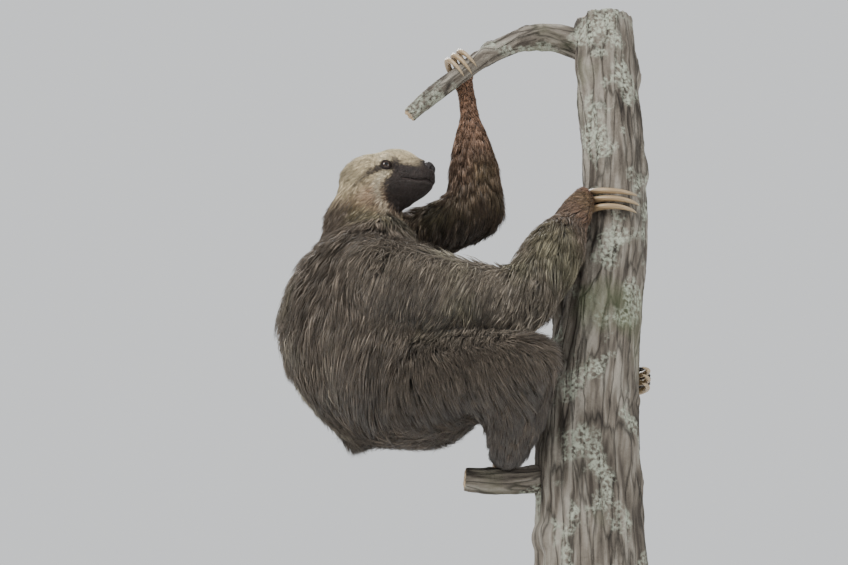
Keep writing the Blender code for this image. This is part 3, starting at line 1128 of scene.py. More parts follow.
# ---------- skin
@dataclass
class Skin:
    """The one skin under the coat, with what the coat does at each of its points."""

    face: Face
    voxel: float = 0.0035
    swell: float = 0.0008
    relax: int = 7
    blend_steps: int = 24
    sink_steps: int = 12
    sink_ease: float = 0.55  # how far each sinking evens out the skin
    head_hold: float = 0.75  # how much less that is on the head
    lie_steps: int = 8
    body_lie: Triple = (-0.34, 0.0, -1.0)  # the way the hair grows on the torso and the neck
    head_hang: float = 0.30
    fine_low: Triple = (0.004, -0.045, -0.050)  # the box before the head that has finer faces
    fine_high: Triple = (0.060, 0.045, 0.035)
    fine_reach: float = 0.0115  # how far round an eye they are finer still
    # forms round an eye: their place from it, their width and how far they rise
    hollows: tuple[tuple[Triple, float, float], ...] = (
        ((0.008, 0.0, -0.004), 0.0080, -0.0017),
        ((-0.001, 0.0, 0.0105), 0.0060, 0.0012),
        ((-0.004, 0.004, -0.0110), 0.0075, 0.0010),
    )
    markings: Markings = Markings()
    head_edge: Pair = (0.25, 0.75)  # how the body's colours turn to the head's
    under: Triple = (0.58, 0.27, 0.20)  # the skin's painted shade under the coat, and what the head and partings add to it
    parted: Pair = (0.85, 0.45)
    rim: Colour = (0.016, 0.011, 0.010)  # bare skin round the eyes, the mouth and the nose
    pad_edge: Pair = (1.75, 1.35)

    VALUES = ("depth", "length", "width", "share", "head")
    ROWS = ("lie", "base")

    def build(self) -> bpy.types.Object:
        """Grows, sinks, models and paints the skin.

        Returns:
            The skin, which stands for all the nodes of flesh.
        """
        mesh = self.fuse()
        self.read_nodes(mesh)
        self.lay_coat(mesh)
        self.sink(mesh)
        mesh = self.refine(mesh)
        self.model_face(mesh)
        self.settle(mesh)
        set_tint(mesh, self.skin_colour(self.place))
        piece = new_piece("skin", mesh, SkinFinish().material())
        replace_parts(piece, *FLESH)
        return piece

    def fuse(self) -> Mesh:
        """Joins all the solids of the body.

        Returns:
            One even mesh.
        """
        work = bmesh.new()
        for name in FLESH:
            copy = welded_copy(name, self.swell)
            work.from_mesh(copy)
            bpy.data.meshes.remove(copy)
        return evened(to_mesh(work, "skin"), self.voxel, self.relax)

    def read_nodes(self, mesh: Mesh) -> None:
        """Notes which solid each point of the fused mesh came from.

        Args:
            mesh: The fused mesh.
        """
        tree, _, owner = face_tree(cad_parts[name].data for name in FLESH)
        places, _ = mesh_arrays(mesh)
        self.node = owner[[tree.find_nearest(p)[2] for p in places.tolist()]]

    def lay_coat(self, mesh: Mesh) -> None:
        """Fills in what the coat does at each point, blended between the parts.

        Args:
            mesh: The fused mesh.
        """
        places, _ = mesh_arrays(mesh)
        count = len(places)
        self.depth, self.length, self.width = np.zeros(count), np.zeros(count), np.zeros(count)
        self.lie, self.base = np.zeros((count, 3)), np.zeros((count, 3))
        self.share = np.ones(count)
        self.head = (self.node == FLESH.index("head")).astype(float)
        beyond = far_sides()
        for index, name in enumerate(FLESH):
            mine = self.node == index
            p = places[mine]
            if name == "head":
                self.depth[mine], self.length[mine], self.width[mine] = self.face.growth(p)
                self.lie[mine] = unit(unit(p - node_middle("nose")) + self.head_hang * DOWN)
                self.base[mine] = self.face.colour(p)
                continue
            coat, along = COATS[name], self.grain(name, beyond)
            reach = node_points(name) @ along
            t = np.clip((p @ along - reach.min()) / (reach.max() - reach.min()), 0.0, 1.0)
            for key in ("depth", "length", "width"):
                far, near = getattr(coat, key)
                getattr(self, key)[mine] = far + (near - far) * t
            self.base[mine] = mix(*coat.colour, t)
            if name.startswith(Limb.LEG.value):  # there the hair grows out to the claws
                along = -along
            self.lie[mine] = unit(along + coat.hang * DOWN)
            self.share[mine] = coat.share
        self.read_edges(mesh)
        for key in (*self.VALUES, *self.ROWS):
            setattr(self, key, self.spread(getattr(self, key), self.blend_steps))

    def grain(self, name: str, beyond: dict[str, str]) -> Array:
        """The way the hair grows along a part: on a limb, up it from its far end.

        Args:
            name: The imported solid.
            beyond: The part or claw beyond each part of a limb.

        Returns:
            The way, at length one.
        """
        if name in beyond:
            return unit(node_middle(name) - node_middle(beyond[name]))
        if name == "tail":
            return unit(node_middle("tail") - node_middle("torso"))
        return unit(np.array(self.body_lie))

    def read_edges(self, mesh: Mesh) -> None:
        """Keeps the mesh's edges for spreading values over it."""
        self.edges = read_rows(mesh.edges, "vertices", 2, int)
        self.links = np.bincount(self.edges.ravel(), minlength=len(mesh.vertices)).astype(float)

    def spread(self, values: Array, steps: int) -> Array:
        """Evens out values with those of their neighbours.

        Args:
            values: A value or a row for each point.
            steps: How many times it is done.

        Returns:
            The evened values.
        """
        a, b = self.edges.T
        rows = values.reshape(len(values), -1)
        for _ in range(steps):
            total = [
                np.bincount(a, column[b], len(rows)) + np.bincount(b, column[a], len(rows))
                for column in rows.T
            ]
            rows = 0.5 * rows + 0.5 * np.stack(total, 1) / np.maximum(self.links, 1.0)[:, None]
        return rows.reshape(values.shape)

    def sink(self, mesh: Mesh) -> None:
        """Draws the skin in by the coat's depth, a little at a time.

        Args:
            mesh: The fused mesh, which is moved.
        """
        places, _ = mesh_arrays(mesh)
        still = 1.0 - self.head_hold * self.head
        for _ in range(self.sink_steps):
            _, normals = mesh_arrays(mesh)
            places = places - normals * (self.depth / self.sink_steps)[:, None]
            places = mix(places, self.spread(places, 1), self.sink_ease * still)
            move_points(mesh, places)

    def refine(self, mesh: Mesh) -> Mesh:
        """Divides the face, and the lids twice more, into smaller faces.

        Args:
            mesh: The sunk mesh, which is freed.

        Returns:
            The finer mesh. What is known at each point is carried over to it.
        """
        work = bmesh.new()
        work.from_mesh(mesh)
        bpy.data.meshes.remove(mesh)
        kinds = work.verts.layers
        layers = {key: kinds.float.new(key) for key in (*self.VALUES, "node")}
        layers |= {key: kinds.float_vector.new(key) for key in self.ROWS}
        for key, layer in layers.items():
            for vert, value in zip(work.verts, getattr(self, key).astype(float).tolist()):
                vert[layer] = value
        eyes = list(self.face.sockets.values())
        for reach in (None, self.fine_reach, self.fine_reach * 0.9):
            local = self.face.local(np.array([v.co for v in work.verts]))
            if reach is None:
                near = ((local > self.fine_low) & (local < self.fine_high)).all(1)
            else:
                near = np.min([np.linalg.norm(local - e, axis=1) for e in eyes], axis=0) < reach
            chosen = [e for e in work.edges if all(near[v.index] for v in e.verts)]
            bmesh.ops.subdivide_edges(work, edges=chosen, cuts=1, use_grid_fill=True)
            work.verts.index_update()
        bmesh.ops.triangulate(work, faces=[f for f in work.faces if len(f.verts) > 4])
        for key, layer in layers.items():
            setattr(self, key, np.array([v[layer] for v in work.verts]))
        self.node = np.rint(self.node).astype(int)
        fine = to_mesh(work, "skin")
        self.read_edges(fine)
        places, _ = mesh_arrays(fine)
        fresh = (self.face.local(places)[:, 0] > 0.0) & (self.head > 0.4)
        move_points(fine, mix(places, self.spread(places, 3), fresh * 0.8))
        return fine

    def model_face(self, mesh: Mesh) -> None:
        """Shapes the sockets, the muzzle, the mouth's line and the lids.

        Args:
            mesh: The finer mesh, which is moved.
        """
        face = self.face
        places, normals = mesh_arrays(mesh)
        p, n = face.local(places), normals @ face.axes.T
        here = self.head > 0.3
        face.seat(p[here])
        self.bare = np.zeros(len(p), dtype=bool)
        self.lid = np.zeros(len(p))
        for side in Side:
            self.hollow(p, n, here, side)
        self.mouth(p, n, here)
        for side in Side:
            self.close_lids(p, here, side)
        move_points(mesh, face.world(p))

    def hollow(self, p: Array, n: Array, here: Array, side: Side) -> None:
        """Sinks the skin before an eye, and raises a soft brow over it and a cheek under it.

        Args:
            p: The skin's points in the head's frame, which are moved.
            n: Its normals there.
            here: Which points are the head's.
            side: Which eye.
        """
        for shift, width, rise in self.hollows:
            d = p - self.face.sockets[side] - np.array(shift) * (1, side.value, 1)
            away = np.linalg.norm(d, axis=1)
            p += n * (rise * bell(away, width) * here)[:, None]

    def mouth(self, p: Array, n: Array, here: Array) -> None:
        """Presses in the mouth's line, which turns up at its corner, under a slight lip.

        Args:
            p: The skin's points in the head's frame, which are moved.
            n: Its normals there.
            here: Which points are the head's.
        """
        face = self.face
        x, z = p[:, 0], p[:, 2]
        share = np.clip((x - face.mouth_corner) / (face.mouth_front - face.mouth_corner), 0, 1)
        line = face.mouth_height + face.mouth_rise * (1.0 - share) ** 2.2
        line = line + face.front_rise * share**4
        start = ease(x, *(face.mouth_corner + reach for reach in face.mouth_start))
        forms = [bell(z - line - height, width) * start for height, width, _ in face.lips]
        depth = sum(deep * form for form, (_, _, deep) in zip(forms, face.lips))
        p -= n * (depth * here)[:, None]
        self.groove = forms[0] * here
        self.bare |= here & (self.groove > 0.55)

    def close_lids(self, p: Array, here: Array, side: Side) -> None:
        """Lays the skin over the eyeball and opens it in an almond with a fold over it.

        Args:
            p: The skin's points in the head's frame, which are moved.
            here: Which points are the head's.
            side: Which eye.
        """
        face = self.face
        out, along, up = face.eye_axes(side)
        height, a, b = face.round_eye(p, side)
        ring = np.hypot(a, b)
        close = (ring < face.lid_reach) & (height > -face.lid_depth) & here
        wide, tall = face.eye_open
        slit = tall * np.clip(1.0 - face.slit_taper * (a / wide) ** 2, face.slit_least, 1.0)
        opening = (a / wide) ** 2 + (b / slit) ** 2 < 1.0
        lid = np.sqrt(np.clip((face.eye_ball + face.lid_thick) ** 2 - ring**2, 0.0, None))
        cover = ease(ring, face.lid_reach, face.lid_edge)
        shaped = height * (1.0 - cover) + lid * cover
        fold = bell(b - face.fold_height + face.fold_droop * np.abs(a), face.fold_width)
        shaped -= face.fold_depth * (fold * ease(ring, *face.fold_fade)) * (b > 0)
        front = np.sqrt(np.clip(face.eye_ball**2 - ring**2, 0.0, None))
        shaped = np.where(opening, front - face.gap_behind, shaped)
        p[close] += out * (shaped - height)[close][:, None]
        self.bare |= close & (ring < face.lid_edge - 0.0003)
        self.lid = np.maximum(self.lid, np.where(close, ease(ring, *face.lid_dark), 0.0))
        # round the eye the hair turns away from it and is shorter
        radial = (a[:, None] * along + b[:, None] * up) @ face.axes
        near = ease(ring, *face.ruff) * here * (height > -0.010)
        self.lie = unit(self.lie + face.ruff_turn * near[:, None] * unit(radial))
        self.length = self.length * (1.0 - face.ruff_short * near)

    def settle(self, mesh: Mesh) -> None:
        """Keeps the finished skin's places, normals and triangles for the coat.

        The lie of the hair is laid flat on the skin. Where it meets from several ways it evens
        out to less than length one, and that length is kept as how calm the coat is.

        Args:
            mesh: The finished skin.
        """
        self.place, self.normal = mesh_arrays(mesh)
        mesh.calc_loop_triangles()
        self.tris = read_rows(mesh.loop_triangles, "vertices", 3, int)
        self.tree = point_tree(self.place)
        lie = unit(self.lie)
        flat = lie - (lie * self.normal).sum(1, keepdims=True) * self.normal
        lie = self.spread(flat, self.lie_steps)
        self.calm = np.linalg.norm(lie, axis=1)
        self.lie = unit(lie)

    def colour_at(self, points: Array, base: Array, head: Array) -> Array:
        """The coat's colour: markings on the head and blotches elsewhere.

        Args:
            points: Rows of world places on the skin.
            base: The part's colour at each.
            head: How far each is the head's.

        Returns:
            A linear colour for each.
        """
        rows = self.markings.colour(points, base)
        mine = head > 0.02
        share = ease(head[mine], *self.head_edge)
        rows[mine] = mix(rows[mine], self.face.colour(points[mine]), share)
        return rows

    def skin_colour(self, points: Array) -> Array:
        """The skin's colour: the coat's markings under painted shade, with dark rims at eyes and
        mouth.

        Args:
            points: The skin's points.

        Returns:
            A linear colour for each.
        """
        rows = self.colour_at(points, self.base, self.head)
        # painted shade under the coat, lifted on the head and where the coat parts
        own, on_head, at_parting = self.under
        shade = own + on_head * self.head + at_parting * ease(self.calm, *self.parted)
        face = self.face
        pad = np.linalg.norm((face.local(points) - face.nose_seat) / face.nose_size, axis=1)
        dark = np.maximum(np.maximum(self.lid, 1.5 * self.groove), ease(pad, *self.pad_edge))
        return mix(rows * shade[:, None], self.rim, np.clip(dark, 0, 1))


# ---------- coat
@dataclass(frozen=True)
class Combing:
    """How tufts are sown, laid and gathered.

    The coat's calm is 1 where its hair lies one way and less where it parts or meets. A pair
    named for it is where a change starts and where it is full. Other pairs are a least and a
    most that tufts are spread between.
    """

    crowd: float = 1.5  # how many more tufts stand where the coat parts
    crowd_calm: Pair = (0.90, 0.35)
    swirl: float = 0.40  # how far broad waves turn the hair aside
    swirl_size: float = 0.024
    stray: float = 0.09
    whorl: float = 0.7  # how far it turns aside where it parts
    whorl_calm: Pair = (0.50, 0.12)
    length: Pair = (0.70, 1.15)
    loft: Pair = (0.55, 1.0)
    ripple: float = 0.18
    ripple_size: float = 0.014
    hug: float = 0.65  # how far each step turns a tuft to the skin under it
    hold: float = 0.4  # how far each step turns it to the lie of the coat there
    free_calm: Pair = (0.55, 0.20)
    leaders: float = 0.045  # the share of tufts that lead a lock
    fewest: int = 8
    pull: Pair = (0.55, 1.15)
    pull_most: float = 0.9
    taper: float = 1.2  # how much more a lock is drawn in at its tips than at its roots
    loose: float = 0.9  # how much less it is where the coat parts
    loose_calm: Pair = (0.75, 0.40)
    lock_edge: Pair = (2.6, 1.2)  # in sizes of a lock from its leader, free and drawn in
    straight: float = 0.55  # past a bend sharper than this cosine a tuft runs straight on
    run_on: float = 1.25  # how far it then reaches, in first steps
    soft: Pair = (0.97, 0.80)  # the cosines between which a bend is eased
    soften: float = 0.5
    eye_room: float = 0.0005
    nose_room: float = 0.0007
    width: Pair = (0.75, 1.3)
    flat: float = 0.42  # a tuft's thickness against its width


@dataclass(frozen=True)
class HairTones:
    """How the tufts' tones are spread about the skin's colours, with painted shade at their roots.

    A pair is a tone on the body and what the head adds to it.
    """

    drift: float = 0.0011  # how far from its root a tuft's colour is read
    lock: float = 0.15
    tuft: float = 0.12
    dark_below: float = 0.20  # of a number from 0 to 1 that each tuft draws
    dark: Pair = (0.60, 0.27)
    pale_above: float = 0.82
    pale: Pair = (1.70, -0.50)
    least: float = 0.42
    most: float = 2.1
    # painted shade deep in the coat, from the root's tone to the tip's
    root: Pair = (0.58, 0.22)
    tip: float = 1.14
    # where the coat parts and the roots show, their painted shade is lifted
    parted_root: float = 0.98
    parted_calm: Pair = (0.85, 0.45)
    head_edge: Pair = (0.2, 0.8)


@dataclass
class CoatPiece:
    """One joined mesh of tufts over some of the parts.

    A tuft is a bent, three-sided spindle with a point at its root and at its tip.
    """

    name: str
    nodes: tuple[str, ...]
    tufts: int
    slot: str = "coat_grey"
    steps: int = 2
    clump: float = 0.009  # the size of a lock
    gather: float = 0.62  # how far a lock's tips are drawn together
    fine: float = 1.0  # width against the part's own
    long: float = 1.0  # length against the part's own
    front: bool | None = None  # on the head only: its face, or the rest of it
    front_line: float = 0.0015  # where the face starts, before the eyes
    comb: Combing = Combing()
    tones: HairTones = HairTones()

    # by the number of steps: how thick a tuft is at each, and how far it stands off the skin
    PROFILE = {2: (0.0, 1.0, 0.0), 3: (0.0, 1.0, 0.78, 0.0)}
    RISE = {2: (-0.08, 0.62, 0.95), 3: (-0.06, 0.50, 0.84, 0.96)}

    def build(self, skin: Skin, wood: Wood, hair: Material) -> bpy.types.Object:
        """Sows, combs and gathers the tufts, and joins them in one mesh.

        Args:
            skin: The skin that they grow on.
            wood: The tree, which they lie against and don't enter.
            hair: Their material.

        Returns:
            The coat piece.
        """
        self.rng = np.random.default_rng(SEED + sum(map(ord, self.name)))
        root = self.sow(skin)
        path, normal = self.lead(skin, root)
        path = self.gather_tips(root, path)
        path, normal, root = self.clear(skin, wood, path, normal, root)
        mesh = self.join(path, normal, root, skin)
        return new_piece(self.name, mesh, hair)

    def sow(self, skin: Skin) -> Roots:
        """Chooses the tufts' roots over the skin, even by area.

        Where the lie of the coat parts, they stand closer.

        Args:
            skin: The skin that they grow on.

        Returns:
            What the coat does at each root.
        """
        wanted = [FLESH.index(n) for n in self.nodes]
        usable = np.isin(skin.node[skin.tris], wanted).sum(1) >= 2
        usable &= ~skin.bare[skin.tris].any(1)
        if self.front is not None:
            middle = skin.place[skin.tris].mean(1)
            usable &= (skin.face.local(middle)[:, 0] > self.front_line) == self.front
        tris = skin.tris[usable]
        a, b, c = (skin.place[tris[:, k]] for k in range(3))
        area = np.linalg.norm(np.cross(b - a, c - a), axis=1)
        weight = area * skin.share[tris].mean(1) / skin.width[tris].mean(1)
        calm = skin.calm[tris].mean(1)
        weight *= 1.0 + self.comb.crowd * ease(calm, *self.comb.crowd_calm)
        pick = self.rng.choice(len(tris), self.tufts, p=weight / weight.sum())
        u, v = self.rng.random(self.tufts), self.rng.random(self.tufts)
        fold = u + v > 1.0
        u[fold], v[fold] = 1.0 - u[fold], 1.0 - v[fold]
        part = np.stack([1.0 - u - v, u, v], 1)
        t = tris[pick]
        root = {}
        for key in ("place", "normal", "lie", "base", "head", "calm", "depth", "length", "width"):
            values = getattr(skin, key)
            rows = values[t].reshape(self.tufts, 3, -1)
            root[key] = (rows * part[:, :, None]).sum(1).reshape((self.tufts, *values.shape[1:]))
        root["normal"], root["lie"] = unit(root["normal"]), unit(root["lie"])
        root["length"], root["width"] = root["length"] * self.long, root["width"] * self.fine
        root["node"] = skin.node[t[:, 0]]
        return root

    def lead(self, skin: Skin, root: Roots) -> tuple[Array, Array]:
        """Leads each tuft over the skin along the lie of the coat.

        Args:
            skin: The skin that they grow on.
            root: What the coat does at each root.

        Returns:
            The tufts' points and the skin's normals under them, tuft by step by XYZ.
        """
        count, rng, comb = self.tufts, self.rng, self.comb
        place, normal = root["place"].copy(), root["normal"].copy()
        swirl = waves(place, comb.swirl_size, Wave.SWIRLS, 1) * comb.swirl
        swirl += rng.normal(0.0, comb.stray, count)
        swirl += rng.normal(comb.whorl, comb.whorl, count) * ease(root["calm"], *comb.whorl_calm)
        side = np.cross(normal, root["lie"])
        way = unit(root["lie"] + side * swirl[:, None])
        length = root["length"] * rng.uniform(*comb.length, count)
        ripple = 1.0 + comb.ripple * waves(place, comb.ripple_size, Wave.RIPPLES, 1)
        lift = root["depth"] * rng.uniform(*comb.loft, count) * ripple
        rise = self.RISE[self.steps]
        path = np.empty((count, self.steps + 1, 3))
        normals = np.empty_like(path)
        path[:, 0] = place + normal * (lift * rise[0])[:, None]
        normals[:, 0] = normal
        for k in range(1, self.steps + 1):
            place = place + way * (length / self.steps)[:, None]
            near = nearest(skin.tree, place)
            normal = unit((1.0 - comb.hug) * normal + comb.hug * skin.normal[near])
            off = ((place - skin.place[near]) * skin.normal[near]).sum(1)
            place = place - skin.normal[near] * off[:, None]
            turn = comb.hold * (1.0 - ease(skin.calm[near], *comb.free_calm))[:, None]
            way = (1.0 - turn) * way + turn * unit(skin.lie[near])
            way = unit(way - (way * normal).sum(1, keepdims=True) * normal)
            path[:, k] = place + normal * (lift * rise[k])[:, None]
            normals[:, k] = normal
        return path, normals

    def gather_tips(self, root: Roots, path: Array) -> Array:
        """Draws tufts together towards their tips, so that the coat falls in locks.

        Args:
            root: What the coat does at each root, to which each lock's tone is added.
            path: The tufts' points.

        Returns:
            The points of the gathered tufts.
        """
        place, comb = root["place"], self.comb
        count = len(place)
        leaders = max(comb.fewest, int(count * comb.leaders))
        chosen = self.rng.choice(count, leaders, replace=False)
        lead = nearest(point_tree(place[chosen]), place)
        root["tone"] = self.rng.normal(1.0, self.tones.lock, leaders)[lead]
        strength = self.gather * self.rng.uniform(*comb.pull, leaders)[lead]
        strength *= 1.0 - comb.loose * ease(root["calm"], *comb.loose_calm)
        steps = np.linspace(0.0, 1.0, self.steps + 1) ** comb.taper
        pull = np.clip(strength[:, None] * steps[None], 0.0, comb.pull_most)[:, :, None]
        far = np.linalg.norm(place - place[chosen[lead]], axis=1)
        pull = pull * ease(far, *(edge * self.clump for edge in comb.lock_edge))[:, None, None]
        return path + (path[chosen[lead]] - path) * pull

    def clear(
        self,
        skin: Skin,
        wood: Wood,
        path: Array,
        normal: Array,
        root: Roots,
    ) -> tuple[Array, Array, Roots]:
        """Lays tufts against the wood, eases their bends and clears the eyes and the nose.

        Args:
            skin: The skin, with the face's frame.
            wood: The tree.
            path: The tufts' points.
            normal: The skin's normals under them.
            root: What the coat does at each root.

        Returns:
            The path, the normals and the roots of the tufts that are kept.
        """
        comb = self.comb
        path, moved = wood.push_out(path)
        keep = ~moved[:, :2].any(1)
        run = unit(np.diff(path, axis=1))
        turn = (run[:, 1:] * run[:, :-1]).sum(2)
        bent = turn.min(1) < comb.straight
        share = np.linspace(0.0, comb.run_on, self.steps + 1)[None, :, None]
        path[bent] = path[bent, :1] + (path[bent, 1:2] - path[bent, :1]) * share
        chord = (path[:, :-2] + path[:, 2:]) / 2
        eased = ease(turn, *comb.soft)[:, :, None]
        path[:, 1:-1] += (chord - path[:, 1:-1]) * comb.soften * eased
        if "head" in self.nodes:
            face = skin.face
            local = face.local(path.reshape(-1, 3))
            for side in Side:
                height, a, b = face.round_eye(local, side)
                over = (np.hypot(a, b) < face.eye_open[0] + comb.eye_room) & (height > 0)
                keep &= ~over.reshape(path.shape[:2]).any(1)
            room = np.array(face.nose_size) + comb.nose_room
            pad = np.linalg.norm((local - face.nose_seat) / room, axis=1)
            keep &= pad.reshape(path.shape[:2]).min(1) > 1.0
        return path[keep], normal[keep], {key: rows[keep] for key, rows in root.items()}

    def join(self, path: Array, normal: Array, root: Roots, skin: Skin) -> Mesh:
        """Makes the tufts' mesh with its tint and map.

        Args:
            path: The tufts' points.
            normal: The skin's normals under them.
            root: What the coat does at each root.
            skin: The skin, with the markings.

        Returns:
            The joined mesh.
        """
        count, rings = len(path), self.steps - 1
        along = unit(np.gradient(path, axis=1))
        across = unit(np.cross(along, normal))
        out = unit(np.cross(across, along))
        own = root["width"] * self.rng.uniform(*self.comb.width, count)
        size = own[:, None, None] * np.array(self.PROFILE[self.steps])[None, 1:-1, None]
        spine, half = path[:, 1:-1], across[:, 1:-1] * size * 0.5
        thick = out[:, 1:-1] * size * self.comb.flat
        ring = np.stack([spine - half, spine + thick, spine + half], 2).reshape(count, -1, 3)
        points = np.concatenate([path[:, :1], ring, path[:, -1:]], 1)
        each = points.shape[1]
        first = np.arange(count) * each
        corners = (np.array(self.tuft_faces(rings))[None] + first[:, None, None]).reshape(-1)
        mesh = bpy.data.meshes.new(self.name)
        mesh.vertices.add(count * each)
        mesh.vertices.foreach_set("co", points.ravel())
        mesh.loops.add(len(corners))
        mesh.loops.foreach_set("vertex_index", corners)
        mesh.polygons.add(len(corners) // 3)
        mesh.polygons.foreach_set("loop_start", np.arange(0, len(corners), 3))
        mesh.update(calc_edges=True)
        level = np.concatenate([[0.0], np.repeat(np.arange(1, self.steps), 3) / self.steps, [1.0]])
        set_tint(mesh, self.tints(root, skin, level))
        spread = np.concatenate([[0.0], np.tile([-0.5, 0.0, 0.5], rings), [0.0]])
        corner_map = self.unwrap(root)[:, None] + PATCH * np.stack([spread, level - 0.5], 1)[None]
        layer = mesh.uv_layers.new(name=UV_NAME)
        layer.data.foreach_set("uv", corner_map.reshape(-1, 2)[corners].ravel())
        return mesh

    @staticmethod
    def tuft_faces(rings: int) -> list[tuple[int, int, int]]:
        """The triangles of one tuft.

        Args:
            rings: How many rings of three points lie between its root and its tip.

        Returns:
            Three points for each, counted from the root's 0 to the tip's.
        """
        last = 3 * rings - 2  # the first point of the last ring
        pairs = ((0, 1), (1, 2), (2, 0))
        faces = [(1 + b, 1 + a, 0) for a, b in pairs]
        for low in range(1, last, 3):
            for a, b in ((low + i, low + j) for i, j in pairs):
                faces += [(a, b, b + 3), (a, b + 3, a + 3)]
        return faces + [(last + a, last + b, last + 3) for a, b in pairs]

    def tints(self, root: Roots, skin: Skin, level: Array) -> Array:
        """A colour for each point: the skin's markings, mixed hair by hair, with painted shade
        from root to tip.

        Args:
            root: What the coat does at each root.
            skin: The skin, with the markings.
            level: How far each of a tuft's points is from root to tip.

        Returns:
            A linear colour for each point.
        """
        rng, count, tones = self.rng, len(root["place"]), self.tones
        stray = root["place"] + rng.normal(0.0, tones.drift, (count, 3))
        rows = skin.colour_at(stray, root["base"], root["head"])
        kind = rng.random(count)
        head = ease(root["head"], *tones.head_edge)
        tone = rng.normal(1.0, tones.tuft, count) * root["tone"]
        for chosen, (own, added) in (
            (kind < tones.dark_below, tones.dark),
            (kind > tones.pale_above, tones.pale),
        ):
            tone *= np.where(chosen, own + added * head, 1.0)
        rows = rows * np.clip(tone, tones.least, tones.most)[:, None]
        # painted shade in the coat: dark at the root, lifted where the coat parts, lighter to the
        # tip
        low = tones.root[0] + tones.root[1] * head
        low += (tones.parted_root - low) * ease(root["calm"], *tones.parted_calm)
        shade = low[:, None] + (tones.tip - low)[:, None] * level[None]
        return (rows[:, None] * shade[:, :, None]).reshape(-1, 3)

    def unwrap(self, root: Roots) -> Array:
        """Lays the roots out on the map: a band for each part, turned round and along the part.

        Args:
            root: What the coat does at each root.

        Returns:
            Each root's place on the map.
        """
        spots = np.zeros((len(root["place"]), 2))
        band = 1.0 / len(self.nodes)
        for i, name in enumerate(self.nodes):
            mine = root["node"] == FLESH.index(name)
            own = node_points(name)
            centre = own.mean(0)
            axis = np.linalg.svd(own - centre, full_matrices=False)[2]
            d = (root["place"][mine] - centre) @ axis.T
            turn = np.arctan2(d[:, 2], d[:, 1]) / (2 * math.pi) + 0.5
            reach = (own - centre) @ axis[0]
            rise = np.clip((d[:, 0] - reach.min()) / np.ptp(reach), 0.0, 1.0)
            spots[mine] = np.stack([turn, band * (i + rise)], 1)
        return PATCH + spots * (1.0 - 2.0 * PATCH)


# ---------- tree
@dataclass
class Centreline:
    """The middle line of a packed length of wood, with places told round and along it."""

    name: str
    stations: int = 9
    overrun: float = 0.03

    def __post_init__(self) -> None:
        """Reads the line from the solid's own rings of points."""
        own = node_points(self.name)
        middle = own.mean(0)
        axis = np.linalg.svd(own - middle, full_matrices=False)[2][0]
        reach = (own - middle) @ axis
        edges = np.linspace(reach.min(), reach.max() + 1e-6, self.stations + 1)
        index = np.digitize(reach, edges) - 1
        line = [own[index == k].mean(0) for k in range(self.stations) if (index == k).any()]
        first = line[0] + unit(line[0] - line[1]) * self.overrun
        last = line[-1] + unit(line[-1] - line[-2]) * self.overrun
        self.line = np.array([first, *line, last])

    def read(self, points: Array) -> tuple[Array, Array, Array]:
        """Tells places by the line.

        Args:
            points: World places.

        Returns:
            For each, its offset across the line in two ways and its length along it; the
            line's direction there; and its distance from the line.
        """
        best = np.full(len(points), np.inf)
        grain, along = np.zeros((len(points), 3)), np.zeros((len(points), 3))
        passed = 0.0
        for a, b in zip(self.line[:-1], self.line[1:]):
            run = np.linalg.norm(b - a)
            way = (b - a) / run
            share = np.clip((points - a) @ way, 0.0, run)
            off = points - a - share[:, None] * way
            away = np.linalg.norm(off, axis=1)
            side = unit(np.array([0.0, 1.0, 0.0]) - way * way[1])
            nearer = away < best
            rows = np.stack([off @ side, off @ np.cross(way, side), passed + share], 1)
            grain[nearer], along[nearer] = rows[nearer], way
            best = np.minimum(best, away)
            passed += run
        return grain, along, best


